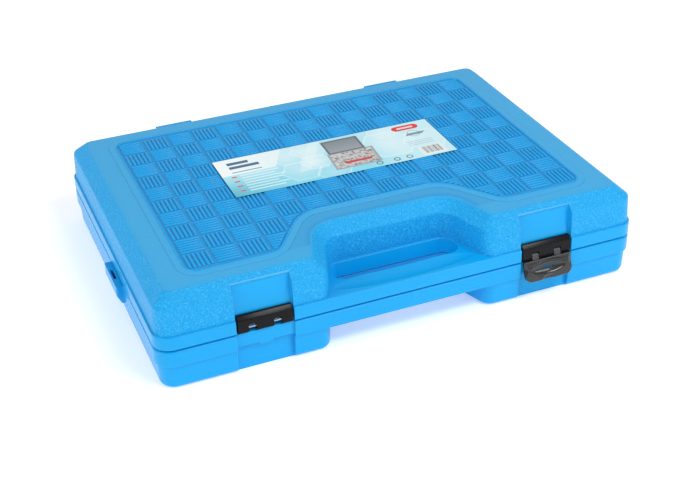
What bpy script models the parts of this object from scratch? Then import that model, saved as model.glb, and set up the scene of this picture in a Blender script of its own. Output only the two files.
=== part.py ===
"""Socket wrench set in a blow-moulded carrying case, shut and lying flat on its base.

Metres, +Z up. The origin is the centre of the base's flat underside, +X runs along the
case to the right and +Y away from the handle. The lid turns about steel pins at the back,
the latch lever about its own pin, and each ratchet keeps a turning drive square and a
reversing lever. Both halves of the case are hollow double skins with a blow hole.
"""

import math
from collections import namedtuple

import bmesh
import bpy
from mathutils import Matrix, Vector

MM = 0.001

# Fits. A joined piece is narrower by STEP_IN, so that its faces don't lie on its neighbour's.
FIT_GAP = 0.3 * MM
POCKET_CLEARANCE = 0.8 * MM
OVERRUN = 5.0 * MM
STEP_IN = 0.1 * MM

# Facets of turned pieces
HEAD_SIDES = 16
GRIP_SIDES = 14
SHAFT_SIDES = 12
BORE_SIDES = 10
SMALL_SIDES = 8

# Case, outside
CASE_LENGTH = 395.6 * MM
CASE_DEPTH = 281.6 * MM
CORNER_RADIUS = 24.0 * MM
LEAST_RADIUS = 9.0 * MM
CORNER_STEPS = 4
BASE_HEIGHT = 34.2 * MM
PARTING_GAP = 0.4 * MM
LID_HEIGHT = 42.8 * MM
BASE_BAND_HEIGHT = 14.0 * MM
LID_BAND_HEIGHT = 11.6 * MM
BAND_PROUD = 1.6 * MM
BAND_CHAMFER = 0.9 * MM
BASE_DRAFT = 1.6 * MM
BASE_FOOT_RADIUS = 5.0 * MM
LID_DRAFT = 2.6 * MM
LID_SLOPE_HEIGHT = 10.7 * MM
LID_SLOPE_WIDTH = 9.0 * MM
LID_EDGE_RADIUS = 2.4 * MM
LID_TOP_EDGE = 2.0 * MM
LID_TOP_EDGE_DROP = 0.4 * MM
FIELD_INSET = 33.0 * MM
FIELD_HEIGHT = 0.7 * MM

# Recess and finger opening behind the handle bar
RECESS_MOUTH = 128.8 * MM
RECESS_BACK = 97.4 * MM
RECESS_DEPTH = 44.5 * MM
RECESS_RADIUS = 10.0 * MM
HANDLE_WIDTH = 20.4 * MM
FINGER_LENGTH = 105.4 * MM
FINGER_WIDTH = 23.6 * MM
FINGER_RADIUS = 9.5 * MM

# Case, inside
RIM_WIDTH = 9.5 * MM
SKIN = 2.4 * MM
BASE_HOLLOW_INSET = 8.0 * MM
POCKET_WALL = 1.8 * MM
PIT_FLOOR = 4.4 * MM
DECK_DEPTH = 3.2 * MM
LID_CAVITY_DEPTH = 12.0 * MM
LID_HOLLOW_TOP_INSET = 17.0 * MM
LID_HOLLOW_SHOULDER = 7.0 * MM
BLOW_HOLE_RADIUS = 2.5 * MM

# Hinges at the back
HINGE_SPREAD = 202.0 * MM
HINGE_WIDTH = 32.0 * MM
HINGE_REACH = 6.2 * MM
KNUCKLE_RADIUS = 5.5 * MM
KNUCKLE_SIDES = 12
LID_KNUCKLE_WIDTH = 15.4 * MM
KNUCKLE_GAP = 0.5 * MM
HINGE_PIN_RADIUS = 1.6 * MM
BOSS_RISE = 8.5 * MM
BOSS_TOP = 33.3 * MM
BOSS_PROUD = 7.4 * MM
BOSS_CHAMFER = 4.0 * MM
BOSS_ROOT = 6.0 * MM
BOSS_ARM_OVERLAP = 3.0 * MM

# Latches at the front
LATCH_SPREAD = 232.6 * MM
LATCH_RECESS_WIDTH = 44.7 * MM
LATCH_RECESS_DEPTH = 5.4 * MM
LATCH_RECESS_LEAN = 3.2 * MM
BASE_RECESS_DEPTH = 5.6 * MM
LEDGE_DEPTH = 2.1 * MM
LEDGE_HEIGHT = 11.4 * MM
LEDGE_DIP_WIDTH = 10.0 * MM
LEDGE_DIP_HEIGHT = 2.0 * MM
BLOCK_WIDTH = 42.0 * MM
BLOCK_FRONT = 0.2 * MM
BLOCK_LIFT = 0.7 * MM
BLOCK_HEIGHT = 13.6 * MM
BLOCK_SLOPE = 3.0 * MM
PIN_ABOVE_PARTING = 3.6 * MM
PIN_BEHIND_FRONT = 2.4 * MM
LATCH_PIN_RADIUS = 0.85 * MM
LATCH_HOLE_RADIUS = 1.2 * MM
NOTCH_SPREAD = 19.4 * MM
NOTCH_WIDTH = 6.2 * MM
NOTCH_RISE = 3.2 * MM
TAB_RADIUS = 2.0 * MM
TAB_ARM_THICKNESS = 1.4 * MM
TAB_ARM_OVERLAP = 1.5 * MM
LEVER_WIDTH = 41.5 * MM
LEVER_TOP = 3.7 * MM
LEVER_LENGTH = 17.4 * MM
LEVER_THICKNESS = 2.8 * MM
LEVER_CLEARANCE = 0.6 * MM
LEVER_CORNER = 6.0 * MM
LEVER_SLOT_WIDTH = 9.7 * MM
LEVER_SLOT_HEIGHT = 1.8 * MM
LEVER_SLOT_DROP = 10.6 * MM
LEVER_NOTCH_RADIUS = 3.6 * MM
LEVER_NOTCH_DEPTH = 1.4 * MM
LEVER_NOTCH_WALL = 0.9 * MM
HOOK_WIDTH = 9.0 * MM
HOOK_ROOT = 0.5 * MM
HOOK_REACH = 1.2 * MM
HOOK_HEIGHT = 2.4 * MM
LEVER_REST_DEGREES = 18.0

# Side boss with its tie slot, on the left of the base
SIDE_BOSS_LENGTH = 39.0 * MM
SIDE_BOSS_BEHIND_FRONT = 119.3 * MM
SIDE_BOSS_HEIGHT = 18.0 * MM
SIDE_BOSS_PROUD = 5.4 * MM
SIDE_BOSS_BELOW_PARTING = 0.4 * MM
SIDE_BOSS_UPRIGHT = 9.0 * MM
SIDE_BOSS_CHAMFER = 4.0 * MM
SIDE_BOSS_TAPER = 3.6 * MM
SIDE_SLOT_WALL = 1.6 * MM
SIDE_SLOT_LENGTH = 14.0 * MM
SIDE_SLOT_WIDTH = 2.4 * MM
SIDE_SLOT_DEPTH = 8.0 * MM

# Printed label
LABEL_LENGTH = 194.0 * MM
LABEL_DEPTH = 64.0 * MM
LABEL_THICKNESS = 0.3 * MM
LABEL_BACK_SHIFT = 9.0 * MM

# Sockets: size across the flats, in millimetres
HALF_LARGE = (32, 30, 27, 24, 22, 21, 19, 17)
HALF_SMALL = (16, 14, 13, 10)
QUARTER = (13, 12, 10, 9, 8, 7, 6, 5)
HALF_DRIVE = 12.7 * MM
QUARTER_DRIVE = 6.35 * MM
HALF_SOCKET_LENGTH = 38.0 * MM
QUARTER_SOCKET_LENGTH = 25.0 * MM
QUARTER_PIT_FLOOR = 14.0 * MM
SOCKET_SIDES = 12
SOCKET_CHAMFER = 0.9 * MM
SOCKET_WALL_SHARE = 1.27
HALF_SOCKET_WALL = 2.3 * MM
QUARTER_SOCKET_WALL = 2.6 * MM
HALF_DRIVE_END = 23.0 * MM
QUARTER_DRIVE_END = 12.0 * MM
HALF_SQUARE_DEPTH = 15.5 * MM
QUARTER_SQUARE_DEPTH = 8.0 * MM
SOCKET_WEB = 3.0 * MM
SQUARE_CLEARANCE = 0.15 * MM

# Ratchets
HALF_RATCHET_LENGTH = 250.0 * MM
HALF_HEAD_RADIUS = 20.0 * MM
HALF_HEAD_HEIGHT = 21.0 * MM
HALF_SHAFT_RADIUS = 7.5 * MM
HALF_GRIP_RADIUS = 14.3 * MM
HALF_GRIP_LENGTH = 125.0 * MM
HALF_SQUARE_LENGTH = 15.0 * MM
QUARTER_RATCHET_LENGTH = 150.0 * MM
QUARTER_HEAD_RADIUS = 12.0 * MM
QUARTER_HEAD_HEIGHT = 12.0 * MM
QUARTER_SHAFT_RADIUS = 4.5 * MM
QUARTER_GRIP_RADIUS = 9.5 * MM
QUARTER_GRIP_LENGTH = 82.0 * MM
QUARTER_SQUARE_LENGTH = 7.5 * MM
SELECTOR_THICKNESS = 2.6 * MM
SELECTOR_STUB_RADIUS = 2.0 * MM
SELECTOR_STUB_DEPTH = 4.0 * MM
GRIP_END = 4.0 * MM
GRIP_COLLAR = 3.0 * MM
DISC_FACE = 1.0 * MM
TOOL_AXIS_HEIGHT = 30.4 * MM

# Straight tools
HALF_EXTENSION_LONG = 125.0 * MM
HALF_EXTENSION_SHORT = 75.0 * MM
QUARTER_EXTENSION = 100.0 * MM
HALF_EXTENSION_END = 11.0 * MM
HALF_EXTENSION_SHAFT = 6.8 * MM
QUARTER_EXTENSION_END = 6.2 * MM
QUARTER_EXTENSION_SHAFT = 4.0 * MM
SPINNER_LENGTH = 150.0 * MM
SPINNER_GRIP_LENGTH = 92.0 * MM
SPINNER_GRIP_RADIUS = 14.0 * MM
SPINNER_SHAFT_RADIUS = 4.2 * MM
SPINNER_COLLAR = 4.0 * MM
SPINNER_END = 6.0 * MM
PLUG_SOCKET_LENGTH = 65.0 * MM
PLUG_SOCKET_RADIUS = 14.0 * MM
PLUG_SOCKET_HEX = 21.0 * MM
KEY_SIZES = (6, 5, 4)
KEY_LONG_ARM = 84.0 * MM
KEY_SHORT_ARM = 26.0 * MM
KEY_STEP = 9.0 * MM
KEY_FLOOR = 27.0 * MM

# Levels and lines that several pieces share
FRONT = -CASE_DEPTH / 2
BACK = CASE_DEPTH / 2
LEFT = -CASE_LENGTH / 2
LID_BOTTOM = BASE_HEIGHT + PARTING_GAP
LID_TOP = LID_BOTTOM + LID_HEIGHT
DECK = BASE_HEIGHT - DECK_DEPTH
LID_CEILING = LID_BOTTOM + LID_CAVITY_DEPTH
HINGE_HEIGHT = BASE_HEIGHT + PARTING_GAP / 2
HINGE_LINE = BACK + HINGE_REACH
LATCH_PIN_LINE = FRONT + PIN_BEHIND_FRONT
LATCH_PIN_HEIGHT = LID_BOTTOM + PIN_ABOVE_PARTING

Pocket = namedtuple("Pocket", "x y half_length half_width floor layer")
pockets = []


def material(name, colour, roughness, metallic=0.0):
    made = bpy.data.materials.new(name)
    made.use_nodes = True
    surface = made.node_tree.nodes["Principled BSDF"]
    surface.inputs["Base Color"].default_value = (*colour, 1.0)
    surface.inputs["Roughness"].default_value = roughness
    surface.inputs["Metallic"].default_value = metallic
    return made


def new_object(name, form, finish=None):
    """An object holding a bmesh, with its normals facing out."""
    bmesh.ops.recalc_face_normals(form, faces=form.faces)
    mesh = bpy.data.meshes.new(name)
    form.to_mesh(mesh)
    form.free()
    made = bpy.data.objects.new(name, mesh)
    bpy.context.scene.collection.objects.link(made)
    if finish:
        mesh.materials.append(finish)
    else:
        made.hide_render = True
        made.display_type = "WIRE"
    return made


def combine(target, tool, operation):
    step = target.modifiers.new(tool.name, "BOOLEAN")
    step.operation = operation
    step.solver = "EXACT"
    step.object = tool


def cut(target, *tools):
    for tool in tools:
        combine(target, tool, "DIFFERENCE")


def join(target, *tools):
    for tool in tools:
        combine(target, tool, "UNION")


def loft(form, rings):
    """A closed solid through rings of points, capped at both ends."""
    loops = [[form.verts.new(point) for point in ring] for ring in rings]
    count = len(loops[0])
    for low, high in zip(loops, loops[1:]):
        for i in range(count):
            j = (i + 1) % count
            form.faces.new((low[i], low[j], high[j], high[i]))
    form.faces.new(loops[0][::-1])
    form.faces.new(loops[-1])


def lofted(name, rings, finish=None):
    form = bmesh.new()
    loft(form, rings)
    return new_object(name, form, finish)


def prism(name, outline, low, high, finish=None):
    rings = [[(x, y, z) for x, y in outline] for z in (low, high)]
    return lofted(name, rings, finish)


def side_prism(name, profile, left, right, finish=None):
    """A solid of one (y, z) profile from left to right."""
    rings = [[(x, y, z) for y, z in profile] for x in (left, right)]
    return lofted(name, rings, finish)


def block(name, low, high, finish=None):
    outline = [(low[0], low[1]), (high[0], low[1]), (high[0], high[1]), (low[0], high[1])]
    return prism(name, outline, low[2], high[2], finish)


def circle(centre_x, centre_y, radius, sides):
    turns = [2 * math.pi * (i + 0.5) / sides for i in range(sides)]
    return [(centre_x + radius * math.cos(a), centre_y + radius * math.sin(a)) for a in turns]


def across(name, y, z, radius, left, right, sides, finish=None):
    """A bar along X."""
    return side_prism(name, circle(y, z, radius, sides), left, right, finish)


def square(x, y, side):
    half = side / 2
    return [(x - half, y - half), (x + half, y - half), (x + half, y + half), (x - half, y + half)]


def turned_up(name, x, y, profile, sides, finish=None):
    """A solid turned about a vertical axis from (radius, height) pairs."""
    rings = [[(px, py, z) for px, py in circle(x, y, r, sides)] for r, z in profile]
    return lofted(name, rings, finish)


def turned_along(name, y, z, profile, sides, finish=None):
    """A solid turned about a line along X from (x, radius) pairs."""
    rings = [[(x, py, pz) for py, pz in circle(y, z, r, sides)] for x, r in profile]
    return lofted(name, rings, finish)


def case_corners(with_recess):
    """The sharp corners of the plan outline, anticlockwise, each with its rounding."""
    x = CASE_LENGTH / 2
    corners = [(-x, FRONT, CORNER_RADIUS)]
    if with_recess:
        mouth, back, depth = RECESS_MOUTH / 2, RECESS_BACK / 2, FRONT + RECESS_DEPTH
        corners.append((-mouth, FRONT, RECESS_RADIUS))
        corners.append((-back, depth, RECESS_RADIUS))
        corners.append((back, depth, RECESS_RADIUS))
        corners.append((mouth, FRONT, RECESS_RADIUS))
    corners.append((x, FRONT, CORNER_RADIUS))
    corners.append((x, BACK, CORNER_RADIUS))
    corners.append((-x, BACK, CORNER_RADIUS))
    return corners


def rounded_outline(corners, inset=0.0):
    """The outline moved inwards by an inset, with every corner turned into an arc."""
    points = [Vector(corner[:2]) for corner in corners]
    outline = []
    for i, (_, _, radius) in enumerate(corners):
        here = points[i]
        arriving = (here - points[i - 1]).normalized()
        leaving = (points[(i + 1) % len(points)] - here).normalized()
        turn = arriving.angle_signed(leaving) * -1
        side = 1 if turn > 0 else -1
        normals = Vector((-arriving.y, arriving.x)), Vector((-leaving.y, leaving.x))
        vertex = here + inset * (normals[0] + normals[1]) / (1 + normals[0].dot(normals[1]))
        radius = max(radius - side * inset, LEAST_RADIUS)
        start = vertex - arriving * radius * math.tan(abs(turn) / 2)
        centre = start + side * normals[0] * radius
        for step in range(CORNER_STEPS + 1):
            spoke = Matrix.Rotation(turn * step / CORNER_STEPS, 2) @ (start - centre)
            outline.append(tuple(centre + spoke))
    return outline


def case_solid(name, with_recess, layers, finish=None):
    """A solid of the case's outline through (inset, height) layers."""
    corners = case_corners(with_recess)
    rings = [[(x, y, z) for x, y in rounded_outline(corners, inset)] for inset, z in layers]
    return lofted(name, rings, finish)


def finger_opening(name):
    back = FRONT + HANDLE_WIDTH + FINGER_WIDTH
    front = FRONT + HANDLE_WIDTH
    x = FINGER_LENGTH / 2
    corners = [(-x, front), (x, front), (x, back), (-x, back)]
    outline = rounded_outline([(*corner, FINGER_RADIUS) for corner in corners])
    return prism(name, outline, -OVERRUN, LID_TOP)


def spread(sizes, low, high):
    """Centres of pieces of these sizes in a line from low to high, with equal gaps."""
    gap = (high - low - sum(sizes)) / (len(sizes) + 1)
    centres = []
    edge = low + gap
    for size in sizes:
        centres.append(edge + size / 2)
        edge += size + gap
    return centres


def round_pocket(x, y, radius, floor, layer=0):
    """A pocket with no half width of its own is round."""
    pockets.append(Pocket(x, y, radius + POCKET_CLEARANCE, None, floor, layer))


def long_pocket(x, y, length, width, floor, layer=0):
    half_length = length / 2 + POCKET_CLEARANCE
    half_width = width / 2 + POCKET_CLEARANCE
    pockets.append(Pocket(x, y, half_length, half_width, floor, layer))


def pocket_outline(pocket, grow):
    x, y = pocket.x, pocket.y
    half_length = pocket.half_length + grow
    if pocket.half_width is None:
        return circle(x, y, half_length, SOCKET_SIDES)
    half_width = pocket.half_width + grow
    return [
        (x - half_length, y - half_width),
        (x + half_length, y - half_width),
        (x + half_length, y + half_width),
        (x - half_length, y + half_width),
    ]


def pocket_layer(name, layer, grow, low=None):
    """All pockets of one layer in one mesh; they don't touch each other."""
    form = bmesh.new()
    for pocket in pockets:
        if pocket.layer != layer:
            continue
        floor = pocket.floor if low is None else low
        outline = pocket_outline(pocket, grow)
        loft(form, [[(x, y, z) for x, y in outline] for z in (floor, DECK + 3 * OVERRUN)])
    return new_object(name, form)


def hinge_centres():
    return -HINGE_SPREAD / 2, HINGE_SPREAD / 2


def latch_centres():
    return -LATCH_SPREAD / 2, LATCH_SPREAD / 2


def knuckle(name, left, right):
    return across(name, HINGE_LINE, HINGE_HEIGHT, KNUCKLE_RADIUS, left, right, KNUCKLE_SIDES)


def hinge_bore(name):
    reach = HINGE_SPREAD / 2 + HINGE_WIDTH
    radius = HINGE_PIN_RADIUS + 1.5 * FIT_GAP
    return across(name, HINGE_LINE, HINGE_HEIGHT, radius, -reach, reach, KNUCKLE_SIDES)


def base_hinges(base):
    for n, x in enumerate(hinge_centres()):
        for side in (-1, 1):
            inner = x + side * (LID_KNUCKLE_WIDTH / 2 + KNUCKLE_GAP)
            outer = x + side * HINGE_WIDTH / 2
            left, right = min(inner, outer), max(inner, outer)
            name = f"base_knuckle_{n}_{side + 1}"
            join(base, knuckle(name, left, right))
            profile = [
                (BACK - 2 * BAND_PROUD, HINGE_HEIGHT - 2.2 * KNUCKLE_RADIUS),
                (HINGE_LINE - 0.3 * KNUCKLE_RADIUS, HINGE_HEIGHT - 0.9 * KNUCKLE_RADIUS),
                (HINGE_LINE, HINGE_HEIGHT - 0.3 * KNUCKLE_RADIUS),
                (BACK - 2 * BAND_PROUD, BASE_HEIGHT - 0.5 * BAND_PROUD),
            ]
            join(base, side_prism(name + "_web", profile, left + STEP_IN, right - STEP_IN))
    cut(base, hinge_bore("base_hinge_bore"))


def lid_hinges(lid):
    for n, x in enumerate(hinge_centres()):
        half = LID_KNUCKLE_WIDTH / 2
        join(lid, knuckle(f"lid_knuckle_{n}", x - half, x + half))
        root = BACK - BOSS_ROOT
        proud = BACK + BOSS_PROUD
        bottom = HINGE_HEIGHT + BOSS_RISE
        top = HINGE_HEIGHT + BOSS_TOP
        boss = [
            (root, bottom),
            (proud, bottom),
            (proud, top - BOSS_CHAMFER),
            (proud - BOSS_CHAMFER, top),
            (root, top),
        ]
        join(lid, side_prism(f"lid_boss_{n}", boss, x - HINGE_WIDTH / 2, x + HINGE_WIDTH / 2))
        arm_front = HINGE_LINE - 0.8 * KNUCKLE_RADIUS
        arm_back = HINGE_LINE + 0.2 * KNUCKLE_RADIUS
        arm_low = (x - half + STEP_IN, arm_front, HINGE_HEIGHT)
        arm_high = (x + half - STEP_IN, arm_back, bottom + BOSS_ARM_OVERLAP)
        join(lid, block(f"lid_arm_{n}", arm_low, arm_high))
    cut(lid, hinge_bore("lid_hinge_bore"))


def lid_latch_recesses(lid):
    outside = FRONT - OVERRUN
    floor = FRONT + LATCH_RECESS_DEPTH
    leaning = floor + LATCH_RECESS_LEAN
    start = LID_BOTTOM + BLOCK_HEIGHT
    profile = [
        (outside, LID_BOTTOM - OVERRUN),
        (floor, LID_BOTTOM - OVERRUN),
        (floor, start),
        (leaning, LID_TOP - OVERRUN),
        (outside, LID_TOP - OVERRUN),
    ]
    for n, x in enumerate(latch_centres()):
        half = LATCH_RECESS_WIDTH / 2
        cut(lid, side_prism(f"lid_latch_recess_{n}", profile, x - half, x + half))


def base_latch_recesses(base):
    outside = FRONT - OVERRUN
    floor = FRONT + BASE_RECESS_DEPTH
    face = FRONT + LEDGE_DEPTH
    ledge = BASE_HEIGHT - LEDGE_HEIGHT
    profile = [
        (outside, -OVERRUN),
        (floor, -OVERRUN),
        (floor, ledge),
        (face, ledge),
        (face, BASE_HEIGHT + OVERRUN),
        (outside, BASE_HEIGHT + OVERRUN),
    ]
    for n, x in enumerate(latch_centres()):
        half = LATCH_RECESS_WIDTH / 2
        cut(base, side_prism(f"base_latch_recess_{n}", profile, x - half, x + half))
        half = LEDGE_DIP_WIDTH / 2
        low = (x - half, face, ledge - LEDGE_DIP_HEIGHT)
        high = (x + half, floor + FIT_GAP, ledge + FIT_GAP)
        join(base, block(f"ledge_dip_{n}", low, high))


def side_boss(base):
    """The boss on the left side, with a slot in its top for a tie."""
    front = FRONT + SIDE_BOSS_BEHIND_FRONT - SIDE_BOSS_LENGTH / 2
    back = front + SIDE_BOSS_LENGTH
    face = LEFT - SIDE_BOSS_PROUD
    top = BASE_HEIGHT - SIDE_BOSS_BELOW_PARTING
    inner = LEFT + 0.5 * BASE_HOLLOW_INSET
    layers = (
        (top - SIDE_BOSS_HEIGHT, SIDE_BOSS_CHAMFER, SIDE_BOSS_TAPER),
        (top - SIDE_BOSS_UPRIGHT, 0.0, 0.0),
        (top, 0.0, 0.0),
    )
    rings = []
    for z, chamfer, taper in layers:
        low, high = front + chamfer, back - chamfer
        out = face + taper
        rings.append([(out, low, z), (inner, low, z), (inner, high, z), (out, high, z)])
    join(base, lofted("side_boss", rings))
    middle = (front + back) / 2
    slot_left = face + SIDE_SLOT_WALL
    slot_low = (slot_left, middle - SIDE_SLOT_LENGTH / 2, top - SIDE_SLOT_DEPTH)
    slot_high = (slot_left + SIDE_SLOT_WIDTH, middle + SIDE_SLOT_LENGTH / 2, top + OVERRUN)
    cut(base, block("side_slot", slot_low, slot_high))


def build_base(finish):
    foot_top = BASE_HEIGHT - BASE_BAND_HEIGHT
    layers = [
        (BAND_PROUD + BASE_DRAFT + BASE_FOOT_RADIUS, 0.0),
        (BAND_PROUD + BASE_DRAFT + 0.3 * BASE_FOOT_RADIUS, 0.3 * BASE_FOOT_RADIUS),
        (BAND_PROUD + BASE_DRAFT, BASE_FOOT_RADIUS),
        (BAND_PROUD, foot_top),
        (BAND_PROUD, BASE_HEIGHT - OVERRUN),
    ]
    base = case_solid("base_shell", True, layers, finish)
    band_layers = [(BAND_CHAMFER, foot_top), (0.0, foot_top + BAND_CHAMFER), (0.0, BASE_HEIGHT)]
    band = case_solid("base_band", False, band_layers)
    cut(band, finger_opening("base_finger_opening"))
    join(base, band)
    cut(base, case_solid("deck_cut", True, [(RIM_WIDTH, DECK), (RIM_WIDTH, BASE_HEIGHT + OVERRUN)]))
    hollow_layers = [(BASE_HOLLOW_INSET, SKIN), (BASE_HOLLOW_INSET, DECK - SKIN)]
    hollow = case_solid("base_hollow", True, hollow_layers)
    layer_count = max(pocket.layer for pocket in pockets) + 1
    for layer in range(layer_count):
        cut(hollow, pocket_layer(f"pocket_walls_{layer}", layer, POCKET_WALL, -OVERRUN))
    cut(base, hollow)
    for layer in range(layer_count):
        cut(base, pocket_layer(f"pocket_cuts_{layer}", layer, 0.0))
    blow_y = FRONT + RECESS_DEPTH + 2 * RIM_WIDTH
    blow = circle(0.0, blow_y, BLOW_HOLE_RADIUS, SMALL_SIDES)
    cut(base, prism("base_blow_hole", blow, -OVERRUN, 2 * SKIN))
    base_latch_recesses(base)
    side_boss(base)
    base_hinges(base)
    return base


def build_lid(finish):
    slope_bottom = LID_TOP - LID_SLOPE_HEIGHT
    edge_inset = BAND_PROUD + LID_DRAFT
    top_inset = edge_inset + LID_SLOPE_WIDTH
    layers = [
        (BAND_PROUD, LID_BOTTOM + 0.3 * LID_BAND_HEIGHT),
        (BAND_PROUD, LID_BOTTOM + LID_BAND_HEIGHT),
        (edge_inset, slope_bottom - LID_EDGE_RADIUS),
        (edge_inset + LID_EDGE_RADIUS, slope_bottom + LID_EDGE_RADIUS),
        (top_inset, LID_TOP - LID_TOP_EDGE_DROP),
        (top_inset + LID_TOP_EDGE, LID_TOP),
    ]
    lid = case_solid("lid_shell", True, layers, finish)
    band_top = LID_BOTTOM + LID_BAND_HEIGHT
    band_layers = [(0.0, LID_BOTTOM), (0.0, band_top - BAND_CHAMFER), (BAND_CHAMFER, band_top)]
    band = case_solid("lid_band", False, band_layers)
    cut(band, finger_opening("lid_finger_opening"))
    join(lid, band)
    field_layers = [
        (FIELD_INSET, LID_TOP - FIELD_HEIGHT),
        (FIELD_INSET, LID_TOP + FIELD_HEIGHT),
    ]
    join(lid, case_solid("raised_field", True, field_layers))
    cavity_layers = [(RIM_WIDTH, LID_BOTTOM - OVERRUN), (RIM_WIDTH, LID_CEILING)]
    cut(lid, case_solid("lid_cavity", True, cavity_layers))
    hollow_layers = [
        (RIM_WIDTH, LID_CEILING + SKIN),
        (RIM_WIDTH + BAND_CHAMFER, slope_bottom - LID_HOLLOW_SHOULDER),
        (LID_HOLLOW_TOP_INSET, LID_TOP - SKIN),
    ]
    cut(lid, case_solid("lid_hollow", True, hollow_layers))
    blow_y = BACK - 2 * RIM_WIDTH
    blow = circle(0.0, blow_y, BLOW_HOLE_RADIUS, SMALL_SIDES)
    cut(lid, prism("lid_blow_hole", blow, LID_CEILING - OVERRUN, LID_CEILING + 2 * SKIN))
    lid_latch_recesses(lid)
    lid_hinges(lid)
    return lid


def hinge_pins(finish):
    half = HINGE_WIDTH / 2 - 2 * FIT_GAP
    for side, x in zip(("left", "right"), hinge_centres()):
        bar = (HINGE_LINE, HINGE_HEIGHT, HINGE_PIN_RADIUS, x - half, x + half)
        across(f"hinge_pin_{side}", *bar, KNUCKLE_SIDES, finish)


def latch_block(side, x, finish):
    front = FRONT + BLOCK_FRONT
    back = FRONT + LATCH_RECESS_DEPTH - FIT_GAP
    low = LID_BOTTOM + BLOCK_LIFT
    high = low + BLOCK_HEIGHT
    profile = [(front, low), (back, low), (back, high), (front, high - BLOCK_SLOPE)]
    half = BLOCK_WIDTH / 2
    made = side_prism(f"latch_block_{side}", profile, x - half, x + half, finish)
    for n, shift in enumerate((-NOTCH_SPREAD / 2, NOTCH_SPREAD / 2)):
        near = (x + shift - NOTCH_WIDTH / 2, front - OVERRUN, low - OVERRUN)
        far = (x + shift + NOTCH_WIDTH / 2, back + OVERRUN, LATCH_PIN_HEIGHT + NOTCH_RISE)
        cut(made, block(f"latch_notch_{side}_{n}", near, far))
    bore = (LATCH_PIN_LINE, LATCH_PIN_HEIGHT, LATCH_HOLE_RADIUS, x - BLOCK_WIDTH, x + BLOCK_WIDTH)
    cut(made, across(f"latch_bore_{side}", *bore, BORE_SIDES))
    return made


def latch_pin(side, x, finish):
    half = BLOCK_WIDTH / 2 - FIT_GAP
    bar = (LATCH_PIN_LINE, LATCH_PIN_HEIGHT, LATCH_PIN_RADIUS, x - half, x + half)
    return across(f"latch_pin_{side}", *bar, SMALL_SIDES, finish)


def lever_outline():
    """The lever's plate from the front, with rounded lower corners."""
    half = LEVER_WIDTH / 2
    low = -LEVER_TOP - LEVER_LENGTH
    outline = [(half, -LEVER_TOP), (-half, -LEVER_TOP)]
    centre_z = low + LEVER_CORNER
    for side, first in ((-1, math.pi), (1, 1.5 * math.pi)):
        centre_x = side * (half - LEVER_CORNER)
        for step in range(CORNER_STEPS + 1):
            turn = first + math.pi / 2 * step / CORNER_STEPS
            x = centre_x + LEVER_CORNER * math.cos(turn)
            z = centre_z + LEVER_CORNER * math.sin(turn)
            outline.append((x, z))
    return outline


def latch_lever(finish):
    """The lever about its pin at the local origin, hanging straight down as when latched."""
    back = -LEVER_CLEARANCE
    front = back - LEVER_THICKNESS
    outline = lever_outline()
    rings = [[(x, y, z) for x, z in outline] for y in (back, front)]
    lever = lofted("latch_lever_right", rings, finish)
    tab_half = NOTCH_WIDTH / 2 - FIT_GAP
    for n, shift in enumerate((-NOTCH_SPREAD / 2, NOTCH_SPREAD / 2)):
        ends = (shift - tab_half, shift + tab_half)
        join(lever, across(f"tab_eye_{n}", 0.0, 0.0, TAB_RADIUS, *ends, SHAFT_SIDES))
        low = (ends[0] + STEP_IN, back - TAB_ARM_THICKNESS, -LEVER_TOP - TAB_ARM_OVERLAP)
        high = (ends[1] - STEP_IN, back, 0.0)
        join(lever, block(f"tab_arm_{n}", low, high))
    bore = (0.0, 0.0, LATCH_HOLE_RADIUS, -LEVER_WIDTH, LEVER_WIDTH)
    cut(lever, across("tab_bore", *bore, BORE_SIDES))
    slot_z = -LEVER_SLOT_DROP
    half = LEVER_SLOT_WIDTH / 2
    low = (-half, front - OVERRUN, slot_z - LEVER_SLOT_HEIGHT)
    cut(lever, block("lever_slot", low, (half, OVERRUN, slot_z)))
    notch_z = -LEVER_TOP - LEVER_LENGTH + LEVER_NOTCH_DEPTH - LEVER_NOTCH_RADIUS
    notch = circle(0.0, notch_z, LEVER_NOTCH_RADIUS, SHAFT_SIDES)
    notch_ends = (front - OVERRUN, back - LEVER_NOTCH_WALL)
    notch_rings = [[(x, y, z) for x, z in notch] for y in notch_ends]
    cut(lever, lofted("lever_notch", notch_rings))
    hook_top = LATCH_PIN_HEIGHT - (BASE_HEIGHT - LEDGE_HEIGHT - LEDGE_DIP_HEIGHT) + LEVER_CLEARANCE
    hook = [
        (back - HOOK_ROOT, -hook_top),
        (back + HOOK_REACH, -hook_top),
        (back - HOOK_ROOT, -hook_top - HOOK_HEIGHT),
    ]
    join(lever, side_prism("lever_hook", hook, -HOOK_WIDTH / 2, HOOK_WIDTH / 2))
    return lever


def label_sheet(finish):
    bottom = LID_TOP + FIELD_HEIGHT + FIT_GAP
    low = (-LABEL_LENGTH / 2, LABEL_BACK_SHIFT - LABEL_DEPTH / 2, bottom)
    high = (LABEL_LENGTH / 2, LABEL_BACK_SHIFT + LABEL_DEPTH / 2, bottom + LABEL_THICKNESS)
    return block("label_sheet", low, high, finish)


def socket_radius(flats, wall, least):
    return max(SOCKET_WALL_SHARE * flats * MM + wall, least) / 2


def hexagon(x, y, flats):
    return circle(x, y, flats / 2 / math.cos(math.pi / 6), 6)


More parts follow.
